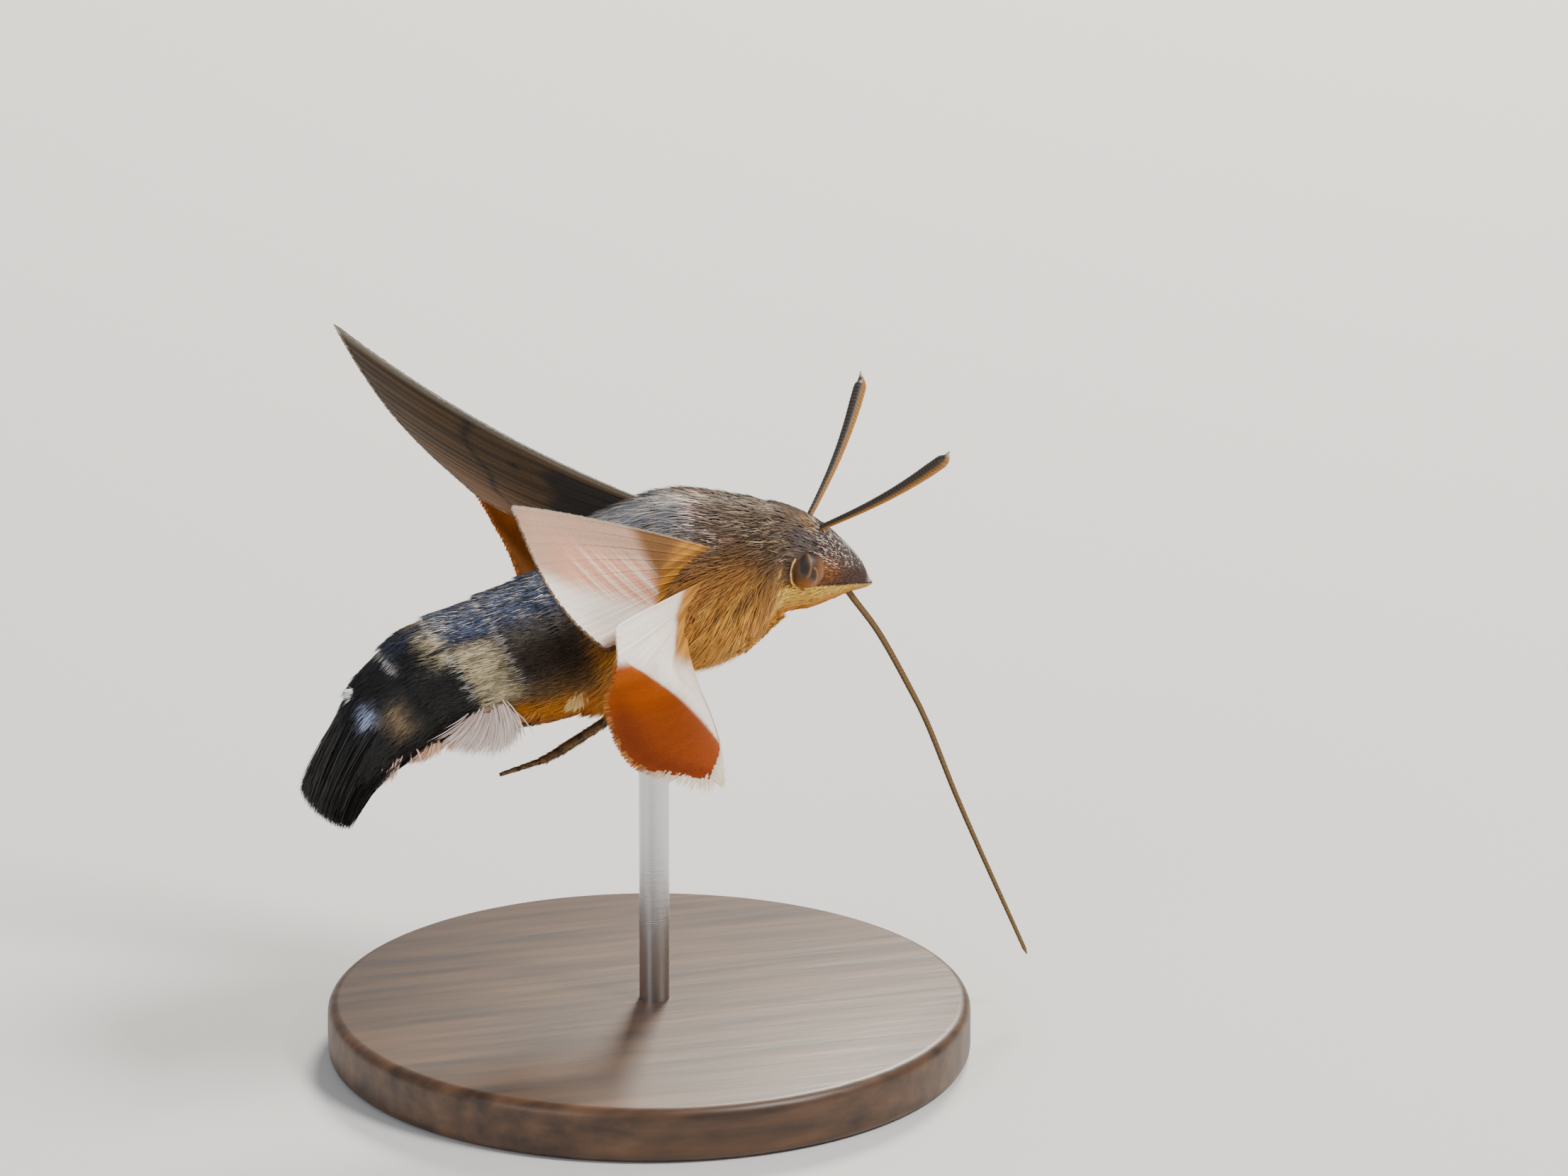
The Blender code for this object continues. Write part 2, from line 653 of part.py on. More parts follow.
def make_wing(name, side, surface, veins, rows, colour):
    places = ray_places(veins)
    grid, weights = [], []
    for t in steps(0.0, 1.0, rows):
        row = [surface(m, t, side) for m, weight in places]
        grid.append([banked(point) for point in row] if side == LEFT else mirrored(row, side))
        weights.append([weight for m, weight in places])
    wing_name = name + "_" + SIDE_NAMES[side]
    wing = new_object(wing_name, sheet_mesh(wing_name, grid, weights), collection, moth)
    applied(wing, "DIFFERENCE", [helper(thorax_mesh("thorax_room", GAP))])
    finish(wing, colour)


def make_wings():
    for side in (RIGHT, LEFT):
        make_wing("forewing", side, forewing_point, FOREWING_VEINS, FOREWING_ROWS, wing_brown)
        make_wing("hindwing", side, hindwing_point, HINDWING_VEINS, HINDWING_ROWS, wing_orange)


def make_stand():
    bpy.ops.mesh.primitive_cylinder_add(
        vertices=48, radius=STAND_BASE_RADIUS * MM, depth=STAND_BASE_THICKNESS * MM,
        location=(0.0, 0.0, STAND_BASE_THICKNESS / 2 * MM),
    )
    base = bpy.context.object
    base.name = base.data.name = "stand_base"
    to_collection(base)
    rim = base.modifiers.new("rim", "BEVEL")
    rim.width = STAND_BASE_BEVEL * MM
    rim.segments = 2
    rim.limit_method = "ANGLE"
    finish(base, wood)
    bottom = STAND_BASE_THICKNESS + GAP - BACK_HEIGHT
    points = [(STAND_ROD_X, 0.0, bottom), (STAND_ROD_X, 0.0, -14.0), (STAND_ROD_X, 0.0, -4.0)]
    rod_mesh = tube_mesh("stand_rod", points, [STAND_ROD_RADIUS] * 3, 3)
    rod = new_object("stand_rod", rod_mesh, collection, moth)
    applied(rod, "DIFFERENCE", [helper(thorax_mesh("thorax_room", GAP))])
    finish(rod, steel)


def finish(piece, surface):
    piece.data.materials.clear()
    piece.data.materials.append(surface)
    piece.data.shade_smooth()
    piece.data.set_sharp_from_angle(angle=math.radians(40))


clear_scene()
collection = bpy.data.collections.new("hummingbird_hawk_moth")
bpy.context.scene.collection.children.link(collection)
moth = bpy.data.objects.new("hawk_moth", None)
moth.location = (BACK_X * MM, 0.0, BACK_HEIGHT * MM)
collection.objects.link(moth)

brown = material("grey_brown_coat", (0.19, 0.14, 0.10), 0.8)
black = material("black_coat", (0.02, 0.018, 0.015), 0.75)
cream = material("cream_scales", (0.62, 0.48, 0.27), 0.75)
eye_brown = material("eye_brown", (0.07, 0.035, 0.02), 0.2)
dark = material("dark_horn", (0.06, 0.045, 0.02), 0.4)
wing_brown = material("wing_brown", (0.12, 0.08, 0.045), 0.7)
wing_orange = material("wing_orange", (0.45, 0.17, 0.03), 0.7)
wood = material("dark_wood", (0.10, 0.055, 0.03), 0.45)
steel = material("steel", (0.6, 0.6, 0.6), 0.3, 1.0)

make_head()
make_thorax()
make_abdomen()
make_tail()
make_antennae()
make_proboscis()
make_legs()
make_wings()
make_stand()
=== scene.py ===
import math

import bpy
import numpy as np
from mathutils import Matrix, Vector


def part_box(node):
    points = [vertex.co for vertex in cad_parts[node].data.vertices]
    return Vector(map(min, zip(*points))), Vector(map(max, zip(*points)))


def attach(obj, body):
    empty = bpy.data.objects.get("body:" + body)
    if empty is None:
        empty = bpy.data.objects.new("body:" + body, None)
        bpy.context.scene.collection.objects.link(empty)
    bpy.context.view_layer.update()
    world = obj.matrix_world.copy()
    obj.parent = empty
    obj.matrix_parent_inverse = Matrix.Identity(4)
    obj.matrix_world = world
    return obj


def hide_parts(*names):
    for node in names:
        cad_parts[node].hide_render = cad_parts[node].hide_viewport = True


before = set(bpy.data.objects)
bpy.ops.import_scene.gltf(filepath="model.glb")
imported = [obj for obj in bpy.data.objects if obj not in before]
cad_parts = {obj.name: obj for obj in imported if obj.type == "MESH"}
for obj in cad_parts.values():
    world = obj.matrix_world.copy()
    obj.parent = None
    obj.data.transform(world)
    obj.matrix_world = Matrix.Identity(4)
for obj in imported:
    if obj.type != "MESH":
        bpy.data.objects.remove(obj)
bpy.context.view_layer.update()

# The display stand. A turned disc of dark stained wood with a softened rim carries one thin
# steel rod, which runs up into the fur between the hind legs. The rod is pushed into the disc.
MM = 0.001
STAND_RADIUS, STAND_SIDES = 17.0 * MM, 144
ROD_RADIUS, ROD_SIDES = 0.8 * MM, 40
ROD_IN_DISC = 0.4 * MM
RIM_BEVEL, ROD_BEVEL = 0.6 * MM, 0.1 * MM
BEVEL_STEPS = 5


def set_inputs(node, values):
    for socket, value in values.items():
        node.inputs[socket].default_value = value


def plain_finish(name, colour, roughness, metallic=0.0):
    finish = bpy.data.materials.new(name)
    finish.use_nodes = True
    shader = finish.node_tree.nodes["Principled BSDF"]
    set_inputs(shader, {"Base Color": (*colour, 1.0), "Roughness": roughness, "Metallic": metallic})
    return finish, finish.node_tree.nodes, finish.node_tree.links, shader


def grain(nodes, links, stretch, scale, detail):
    """Noise in the piece's own coordinates, drawn out along the axes that stretch makes small."""
    where = nodes.new("ShaderNodeTexCoord")
    mapping = nodes.new("ShaderNodeMapping")
    set_inputs(mapping, {"Scale": stretch})
    noise = nodes.new("ShaderNodeTexNoise")
    set_inputs(noise, {"Scale": scale, "Detail": detail})
    links.new(where.outputs["Object"], mapping.inputs["Vector"])
    links.new(mapping.outputs["Vector"], noise.inputs["Vector"])
    return noise


def ramp(nodes, links, source, stops):
    band = nodes.new("ShaderNodeValToRGB")
    elements = band.color_ramp.elements
    while len(elements) < len(stops):
        elements.new(0.5)
    for element, (place, colour) in zip(elements, stops):
        element.position = place
        element.color = (*colour, 1.0)
    links.new(source, band.inputs["Fac"])
    return band


def relief(nodes, links, height, distance, shader, strength=1.0):
    bump = nodes.new("ShaderNodeBump")
    set_inputs(bump, {"Strength": strength, "Distance": distance})
    links.new(height, bump.inputs["Height"])
    links.new(bump.outputs["Normal"], shader.inputs["Normal"])


def place_piece(piece, finish, slot, *replaced):
    piece.data.materials.clear()
    piece.data.materials.append(finish)
    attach(piece, "root")
    if replaced:
        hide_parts(*replaced)


def turned(name, radius, low, high, sides, bevel, x=0.0):
    bpy.ops.object.select_all(action="DESELECT")
    bpy.ops.mesh.primitive_cylinder_add(
        vertices=sides, radius=radius, depth=high - low, location=(x, 0.0, (low + high) / 2)
    )
    piece = bpy.context.object
    piece.name = piece.data.name = name
    bpy.ops.object.transform_apply(location=True, rotation=True, scale=True)
    rim = piece.modifiers.new("rim", "BEVEL")
    rim.width = bevel
    rim.segments = BEVEL_STEPS
    rim.limit_method = "ANGLE"
    rim.angle_limit = math.radians(60)
    bpy.ops.object.modifier_apply(modifier="rim")
    bpy.ops.object.shade_smooth_by_angle(angle=math.radians(35))
    return piece


wood, nodes, links, shader = plain_finish("dark_wood", (0.06, 0.03, 0.015), 0.42)
rings = grain(nodes, links, (90.0, 900.0, 900.0), 1.0, 6.0)
streaks = ramp(nodes, links, rings.outputs["Fac"], (
    (0.30, (0.030, 0.014, 0.007)), (0.55, (0.085, 0.040, 0.018)), (0.75, (0.130, 0.065, 0.030)),
))
links.new(streaks.outputs["Color"], shader.inputs["Base Color"])
relief(nodes, links, rings.outputs["Fac"], 0.00004, shader)

steel, nodes, links, shader = plain_finish("brushed_steel", (0.62, 0.62, 0.63), 0.3, 1.0)
brushing = grain(nodes, links, (600.0, 600.0, 20000.0), 1.0, 3.0)
relief(nodes, links, brushing.outputs["Fac"], 0.000006, shader)

base_low, base_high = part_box("stand_base")
stand_base = turned("stand_disc", STAND_RADIUS, base_low[2], base_high[2], STAND_SIDES, RIM_BEVEL)
place_piece(stand_base, wood, "stand_wood", "stand_base")

rod_low, rod_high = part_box("stand_rod")
rod_x = (rod_low[0] + rod_high[0]) / 2
rod_foot = rod_low[2] - ROD_IN_DISC
stand_rod = turned("stand_pin", ROD_RADIUS, rod_foot, rod_high[2], ROD_SIDES, ROD_BEVEL, rod_x)
place_piece(stand_rod, steel, "stand_steel", "stand_rod")


# The body's skin. One closed skin runs from the snout over head, thorax and abdomen to the core of
# the tail, below the hair by the depth of the coat. It is lofted through the body's own sections,
# steps down behind each ring of the abdomen, and is creased along the edge of the palps.
BACK = np.array((2.5, 0.0, 28.5))

# Stations from the snout to the end of the tail: x and z of the centre from the point on the back,
# tilt of the section in degrees, and its half width and half height out to the tips of the hair.
BODY = np.array([
    (9.72, -3.62, 0, 0.24, 0.22), (9.14, -3.06, 0, 0.90, 0.90), (8.34, -2.58, 2, 1.52, 1.50),
    (7.35, -2.24, 1, 2.10, 2.13), (6.30, -2.01, 0, 2.50, 2.64), (5.20, -1.79, 0, 2.62, 2.98),
    (4.31, -1.78, 0, 2.75, 3.26), (2.99, -2.08, 0, 3.45, 3.98), (1.59, -2.35, 0, 4.00, 4.55),
    (0.21, -2.41, 0, 4.30, 4.85), (-1.29, -2.46, 0, 4.40, 4.93), (-2.74, -2.81, 3, 4.40, 4.95),
    (-4.29, -3.36, 7, 4.30, 4.88), (-5.65, -4.33, 13, 4.20, 4.62), (-6.67, -5.01, 20, 4.10, 4.20),
    (-7.95, -5.41, 22, 4.15, 4.10), (-9.57, -5.78, 23, 4.10, 3.93), (-11.32, -6.07, 26, 4.00, 3.68),
    (-12.88, -6.48, 28, 3.85, 3.62), (-14.32, -6.80, 32, 3.60, 3.32), (-15.48, -7.64, 38, 3.40, 3.10),
    (-16.82, -8.69, 44, 3.20, 2.75), (-18.09, -10.02, 52, 3.10, 2.10), (-19.07, -11.27, 62, 3.10, 1.60),
    (-19.93, -12.70, 68, 3.20, 1.20), (-20.22, -13.55, 74, 3.20, 0.90),
])
RING_EDGES = np.array((13.0, 14.55, 16.1, 17.7, 19.45, 20.9, 22.2))
COAT_DEPTH = ((0.0, 0.04), (1.0, 0.10), (3.0, 0.18), (5.5, 0.26), (7.0, 0.42), (12.0, 0.42),
              (14.0, 0.26), (20.5, 0.26), (22.0, 0.50), (23.6, 0.60), (25.0, 0.60))
SKIN_ROWS, SKIN_SIDES = 260, 128
SKIN_END = 23.4
SKIN_END_POINTS = ((0.15, 0, 0), (-0.2, 0, -0.4))
RING_RISE, RING_DIP = 0.13, 0.05
THINNEST = 0.05
CHIN_LINE = ((3.8, -2.44), (4.4, -2.50), (6.97, -2.90), (8.60, -3.28), (9.72, -3.62))
CREASE_DEPTH, CREASE_WIDTH, CREASE_END = 0.05, 0.10, 5.6
CLEFT_DEPTH, CLEFT_WIDTH, CLEFT_END = 0.16, 0.16, 5.2


def along(rows, t):
    """The points at t, an array, on the smooth curve through every row."""
    rows = np.asarray(rows, float)
    last = len(rows) - 1
    t = np.clip(t, 0.0, last)
    i = np.minimum(t.astype(int), last - 1)
    f = (t - i)[..., None]
    padded = np.concatenate([[2 * rows[0] - rows[1]], rows, [2 * rows[-1] - rows[-2]]])
    a, b, c, d = padded[i], padded[i + 1], padded[i + 2], padded[i + 3]
    return b + 0.5 * f * (c - a + f * (2 * a - 5 * b + 4 * c - d + f * (3 * (b - c) + d - a)))


def rise(low, high, x):
    """0 below low, 1 above high, and a soft step between them."""
    f = np.clip((np.asarray(x, float) - low) / (high - low), 0.0, 1.0)
    return f * f * (3 - 2 * f)


def fall(low, high, x):
    return 1 - rise(low, high, x)


def read_off(x, table):
    """The value at x in a table of pairs, in straight lines from pair to pair."""
    return np.interp(x, *zip(*table))


def hump(x, centre, width):
    return np.exp(-((x - centre) / width) ** 2)


def unit(directions):
    return directions / np.linalg.norm(directions, axis=-1, keepdims=True)


def section(t):
    """The body's section at station t: its centre, half width, half height and downward axis."""
    x, z, tilt, half_width, half_height = np.moveaxis(along(BODY, t), -1, 0)
    lean = np.radians(tilt)
    under = np.stack([np.sin(lean), 0 * lean, -np.cos(lean)], -1)
    return np.stack([x, 0 * x, z], -1), half_width, half_height, under


def body_place(t, turn, lower=0.0):
    """Points on the skin, in millimetres from the back point, at station t and turn from the top."""
    centre, half_width, half_height, under = section(t)
    depth = read_off(t, COAT_DEPTH) + lower
    ring = np.clip(np.searchsorted(RING_EDGES, t, side="right"), 1, len(RING_EDGES) - 1)
    start, end = RING_EDGES[ring - 1], RING_EDGES[ring]
    f = np.clip((t - start) / (end - start), 0.0, 1.0)
    ringed = (t > RING_EDGES[0]) & (t < RING_EDGES[-1])
    step = np.where(ringed, RING_RISE * f ** 1.5 - RING_DIP, 0.0)
    out = np.maximum(half_width - depth + step, THINNEST)
    up = np.maximum(half_height - depth + step, THINNEST)
    place = centre - under * (up * np.cos(turn))[..., None]
    place[..., 1] = out * np.sin(turn)
    on_side = (np.abs(np.sin(turn)) > 0.3) * (t < CREASE_END)
    crease = hump(chin_height(place), 0.0, CREASE_WIDTH) * on_side
    below = rise(100, 130, np.degrees(np.abs(turn))) * (t < CLEFT_END)
    cleft = hump(place[..., 1], 0.0, CLEFT_WIDTH) * below
    shrink = CREASE_DEPTH * crease + CLEFT_DEPTH * cleft
    return place + (centre - place) * (shrink / np.maximum(out, 0.3))[..., None]


def chin_height(place):
    """How far above the line that parts the pale palps from the face."""
    return place[..., 2] - read_off(place[..., 0], CHIN_LINE)


def body_axes(t, turn, lower=0.0):
    """Points on the skin, with the directions backward, round the girth, and outward there."""
    place = body_place(t, turn, lower)
    back = body_place(t + 0.02, turn, lower) - body_place(t - 0.02, turn, lower)
    girth = body_place(t, turn + 0.02, lower) - body_place(t, turn - 0.02, lower)
    out = unit(np.cross(back, girth))
    back = unit(back)
    out *= np.sign(np.sum(out * (place - section(t)[0]), -1, keepdims=True))
    return place, back, np.cross(back, out), out


def srgb(*colour):
    c = np.array(colour, float) / 255
    return np.where(c <= 0.04045, c / 12.92, ((c + 0.055) / 1.055) ** 2.4)


def toward(colour, other, weight):
    return colour + (other - colour) * np.asarray(weight, float)[..., None]


def layered(tint, *layers):
    """A tint with further colours laid over it in turn, each by its weight."""
    for colour, weight in layers:
        tint = toward(tint, colour, weight)
    return tint


def mottle(u, v):
    """Soft patches between 0 and 1 that never quite repeat."""
    waves = np.sin(u * 1.0 + 1.7 * np.sin(v * 0.61 + 0.4)) + np.sin(v * 0.93 + 1.9 * np.sin(u * 0.53))
    return 0.5 + 0.17 * (waves + np.sin(u * 0.67 - v * 0.79 + 2.0))


BROWN_GREY = srgb(124, 103, 84)
WARM_BROWN = srgb(90, 66, 42)
BLUE_GREY = srgb(120, 122, 130)
DARK_FLECK = srgb(40, 31, 26)
PALE_FLECK = srgb(240, 222, 208)
FAWN_FLECK = srgb(182, 158, 132)
ROSE_FLECK = srgb(226, 170, 176)
GOLD_FLECK = srgb(222, 170, 88)
UMBER = srgb(104, 70, 36)
GOLD_BROWN = srgb(160, 108, 44)
# Golds for the chest and belly: painted warm light reflected from beneath.
CHEST_PAINTED_GLOW = srgb(216, 148, 48)
BELLY_PAINTED_GLOW = srgb(244, 180, 70)
FACE_BROWN = srgb(150, 88, 30)
SNOUT_SLATE = srgb(98, 84, 80)
SNOUT_DARK = srgb(74, 40, 22)
CHIN_CREAM = srgb(255, 204, 92)
CHIN_PAINTED_GLOW = srgb(246, 160, 28)
INK_BLUE = srgb(38, 46, 68)
STEEL_BLUE = srgb(92, 106, 136)
DUSK = srgb(58, 46, 36)
OLIVE = srgb(104, 76, 36)
AMBER_PAINTED_GLOW = srgb(206, 132, 34)
CREAM_GREY = srgb(204, 188, 150)
COAT_BLACK = srgb(22, 20, 19)
WHITE_HAIR = srgb(240, 234, 230)


def front_tint(t, s, ragged, place, chance):
    """Head and thorax: brown grey above, golden down the flanks and on the chest, which is painted warm
    light reflected from below, and cream below the snout.
    """
    x, z = place[..., 0], place[..., 2]
    patches = mottle(t * 9.0, s * 0.16)
    golden = ragged - (66 + 19 * np.clip(7.5 - t, 0.0, 2.2))
    streak = mottle((x * 0.62 - z * 0.78) * 11.0, (t - 6.0) * 2.2)
    chest = rise(74, 88, ragged) * fall(146, 164, s) * (t > 6.0)
    # sparkle marks where pale, rose and gold hairs on the back of the thorax are laid as painted glints.
    sparkle = rise(7.8, 8.5, t) * fall(9.2, 9.9, t) * fall(48, 64, s) * (patches > 0.34)
    tint = layered(
        BROWN_GREY,
        (WARM_BROWN, rise(0.35, 0.75, patches) * 0.6 + 0.4 * rise(20, 60, s)),
        (BLUE_GREY, rise(8.7, 9.6, t) * fall(30, 52, ragged)),
        # Scattered dark hairs over the thorax are painted shade between the clumps of hair, and scattered
        # fawn hairs painted highlights.
        (DARK_FLECK, (chance < 0.30) * rise(4.6, 5.6, t) * (1 - 0.5 * rise(8.6, 9.2, t)) * 0.9),
        (FAWN_FLECK, (chance > 0.86) * rise(4.6, 5.4, t) * 0.7),
        # Umber, gold brown, chest gold and pale belly gold, rising down the flanks, are painted warm
        # light reflected from below.
        (UMBER, rise(-26, -8, golden) * 0.8),
        (GOLD_BROWN, rise(-8, 10, golden)),
        (CHEST_PAINTED_GLOW, rise(12, 40, golden)),
        (BELLY_PAINTED_GLOW, rise(122, 150, ragged)),
        (UMBER, chest * rise(0.58, 0.78, streak) * 0.75),
        (CHIN_CREAM, chest * fall(0.18, 0.34, streak) * 0.45),
        (DARK_FLECK, (chance < 0.10) * rise(74, 90, s) * (t > 6.2) * 0.6),
        (PALE_FLECK, sparkle * (chance > 0.80)),
        (ROSE_FLECK, sparkle * (chance > 0.66) * (chance < 0.74) * 0.9),
        (GOLD_FLECK, sparkle * (chance > 0.56) * (chance < 0.64) * (s < 25)),
    )
    height = chin_height(place)
    # The round spot named glow lays face brown on the face as a painted glow.
    glow = hump(np.hypot(x - 6.9, 0.8 * (z + 2.1)), 0.0, 0.75)
    cheek = rise(3.4, 4.4, t) * fall(0.9, 1.9, height)
    face = layered(
        SNOUT_SLATE,
        (SNOUT_DARK, fall(0.5, 1.5, height + 0.3 * (chance - 0.5))),
        (FACE_BROWN, np.maximum(glow, cheek)),
        (DARK_FLECK, (chance < 0.2) * 0.6),
    )
    low = fall(-0.04, 0.04, height + 0.05 * (chance - 0.5))
    # The chin turns from cream to gold lower down; the gold is painted warm light reflected from below.
    chin = toward(CHIN_CREAM, CHIN_PAINTED_GLOW, rise(110, 156, s) * 0.85 + 0.25 * (chance - 0.5))
    bridge = fall(16, 34, s) * fall(1.8, 2.8, t) + hump(t, 0.3, 0.25) * (height > 0.1)
    return layered(
        tint,
        (face, fall(4.9, 5.3, t) * rise(30, 48, ragged)),
        (SNOUT_SLATE, fall(4.0, 4.8, t) * fall(46, 78, ragged) * 0.7),
        (PALE_FLECK, fall(3.6, 4.6, t) * rise(0.7, 1.3, height) * (chance > 0.72)),
        (GOLD_FLECK, hump(t, 4.1, 0.3) * hump(s, 26, 12) * (chance > 0.45)),
        (DARK_FLECK, hump(t, 3.95, 0.18) * hump(s, 56, 9) * 0.8),
        (chin, low * fall(5.5, 6.5, t + 0.9 * (chance - 0.5))),
        (WHITE_HAIR, np.clip(bridge, 0, 1) * (chance > 0.15) * 0.85),
    )


def rear_tint(t, s, ragged, chance):
    """Abdomen: blue grey above with painted sheen, dusky flanks with cream patches, black behind, and
    olive and amber below, which is painted warm light reflected from beneath.
    """
    fleck = mottle(t * 14.0, s * 0.30)
    streak = mottle(s * 0.55, t * 3.0)
    deep = layered(
        COAT_BLACK,
        (INK_BLUE, fall(16, 34, ragged) * (chance > 0.4) * fall(19.2, 20.2, t)),
        # Amber beneath the black rings is painted warm light from below.
        (AMBER_PAINTED_GLOW, rise(130, 144, ragged) * fall(20.6, 21.6, t)),
    )
    flank = rise(38, 56, ragged) * fall(98, 114, ragged)
    patch = toward(CREAM_GREY, DUSK, rise(0.55, 0.9, streak) * 0.6 + (chance < 0.15) * 0.3)
    combed_cream = fall(17.95, 18.75, t + 0.6 * (streak - 0.5)) * rise(17.6, 17.75, t)
    combed_cream = combed_cream * rise(0, 24, ragged) * fall(44, 62, ragged)
    third = hump(t, 20.35, 0.36) * rise(46, 62, ragged) * fall(84, 100, ragged)
    spot = hump(t, 20.95, 0.20) * hump(s, 42, 12)
    tint = layered(
        INK_BLUE,
        # Steel blue on part of the hairs and in soft patches is painted sheen on the blue grey back.
        (STEEL_BLUE, np.clip((chance > 0.55) * 0.55 + rise(0.45, 0.8, fleck) * 0.4, 0, 1)),
        (PALE_FLECK, (chance > 0.96) * 0.8),
        (FAWN_FLECK, (chance > 0.88) * (chance < 0.93) * 0.8),
        (toward(DUSK, DARK_FLECK, (chance < 0.4) * 0.6), rise(30, 52, ragged)),
        # Olive low on the flanks and amber beneath are painted warm light reflected from below.
        (OLIVE, rise(84, 100, ragged) * 0.9),
        (AMBER_PAINTED_GLOW, rise(102, 124, ragged)),
        (deep, rise(17.62, 17.72, t)),
        (patch, flank * rise(16.1, 16.8, t + 0.4 * (chance - 0.5)) * fall(17.58, 17.7, t)),
        (CREAM_GREY, combed_cream * rise(0.15, 0.4, streak) * 0.85),
        (srgb(150, 126, 96), third * 0.65 * rise(0.1, 0.5, streak)),
        (srgb(170, 180, 214), np.clip(spot * 1.5, 0, 1) * (chance > 0.15)),
    )
    for edge, reach_round, strength in ((16.2, 102, 0.35), (17.8, 94, 0.8), (19.55, 34, 0.8)):
        line = hump(t, edge, 0.08) * fall(reach_round - 12, reach_round + 6, s)
        tint = toward(tint, WHITE_HAIR, line * strength * (chance > 0.2))
    return tint


def coat_tint(t, turn, chance):
    """The coat's colour at station t and turn. Chance, 0 to 1, picks out flecks hair by hair."""
    s = np.degrees(np.abs(turn))
    ragged = s + 7 * (chance - 0.5)
    front = front_tint(t, s, ragged, body_place(t, turn), chance)
    return toward(front, rear_tint(t, s, ragged, chance), rise(12.6, 13.6, t + 0.8 * (chance - 0.5)))


def grid_faces(rows, columns, first=0, closed=True):
    """Quads over a grid of vertices, wrapped round its columns where the grid is a tube."""
    r = np.arange(rows - 1)[:, None]
    c = np.arange(columns if closed else columns - 1)[None, :]
    n = (c + 1) % columns
    quads = np.stack([r * columns + c, r * columns + n, (r + 1) * columns + n, (r + 1) * columns + c], -1)
    return quads.reshape(-1, 4) + first


def tube_faces(rows, sides):
    """Faces of a tube closed by a fan at each end, to two points that follow its rows."""
    here = np.arange(sides)
    there = (here + 1) % sides
    first_end = 0 * here + rows * sides
    last_row = (rows - 1) * sides
    root_cap = np.stack([first_end, there, here], -1)
    tip_cap = np.stack([first_end + 1, last_row + here, last_row + there], -1)
    return [grid_faces(rows, sides), root_cap, tip_cap]


def tube_tints(tint):
    tint = tint.reshape(-1, 3)
    return np.concatenate([tint, tint[:1], tint[-1:]])


def paint(mesh, tint):
    colours = mesh.color_attributes.new("tint", "FLOAT_COLOR", "POINT")
    full = np.concatenate([np.clip(tint, 0, 1), np.ones((len(tint), 1))], -1)
    colours.data.foreach_set("color", full.astype(np.float32).reshape(-1))


def mesh_piece(name, places, faces, tint, patches=None, smooth=True):
    """A piece from places in metres, faces, and a colour and an unwrapped place for each vertex."""
    mesh = bpy.data.meshes.new(name)
    counts = np.concatenate([np.full(len(f), f.shape[1], np.int32) for f in faces])
    corners = np.concatenate([f.reshape(-1) for f in faces]).astype(np.int32)
    mesh.vertices.add(len(places))
    mesh.vertices.foreach_set("co", np.asarray(places, np.float32).reshape(-1))
    mesh.loops.add(len(corners))
    mesh.loops.foreach_set("vertex_index", corners)
    mesh.polygons.add(len(counts))
    starts = np.concatenate([[0], np.cumsum(counts)[:-1]]).astype(np.int32)
    mesh.polygons.foreach_set("loop_start", starts)
    mesh.polygons.foreach_set("use_smooth", np.full(len(counts), smooth))
    mesh.update(calc_edges=True)
    paint(mesh, tint)
    if patches is not None:
        unwrapped = mesh.uv_layers.new(name="OFBake")
        unwrapped.data.foreach_set("uv", patches[corners].astype(np.float32).reshape(-1))
    piece = bpy.data.objects.new(name, mesh)
    bpy.context.scene.collection.objects.link(piece)
    return piece


def in_place(points):
    return (points + BACK) * MM


def tinted_finish(name, roughness, speckle=0.0, speckle_scale=0.0, bump=0.0, specular=0.5):
    """A finish that takes its colour from the piece's tint, with a fine speckle and relief."""
    finish, nodes, links, shader = plain_finish(name, (0.5, 0.5, 0.5), roughness)
    set_inputs(shader, {"Specular IOR Level": specular})
    tint = nodes.new("ShaderNodeAttribute")
    tint.attribute_name = "tint"
    colour = tint.outputs["Color"]
    if speckle:
        noise = grain(nodes, links, (1.0, 1.0, 1.0), speckle_scale, 2.0)
        lighten = nodes.new("ShaderNodeMapRange")
        set_inputs(lighten, {"From Min": 0.3, "From Max": 0.7})
        set_inputs(lighten, {"To Min": 1.0 - speckle, "To Max": 1.0 + speckle})
        links.new(noise.outputs["Fac"], lighten.inputs["Value"])
        scaled = nodes.new("ShaderNodeVectorMath")
        scaled.operation = "SCALE"
        links.new(colour, scaled.inputs[0])
        links.new(lighten.outputs["Result"], scaled.inputs["Scale"])
        colour = scaled.outputs["Vector"]
    links.new(colour, shader.inputs["Base Color"])
    if bump:
        relief(nodes, links, noise.outputs["Fac"], bump, shader)
    return finish


SKIN_PAINTED_SHADE, SKIN_CHANCE = 0.45, 0.3
skin_finish = tinted_finish("moth_skin", 0.8, 0.3, 7000.0, 0.00005)
stations = np.linspace(0.0, SKIN_END, SKIN_ROWS)
turns = np.linspace(-math.pi, math.pi, SKIN_SIDES, endpoint=False)
station_grid, turn_grid = np.meshgrid(stations, turns, indexing="ij")
skin_points = body_place(station_grid, turn_grid).reshape(-1, 3)
skin_ends = section(stations[[0, -1]])[0] + SKIN_END_POINTS
even_chance = np.full_like(turn_grid, SKIN_CHANCE)
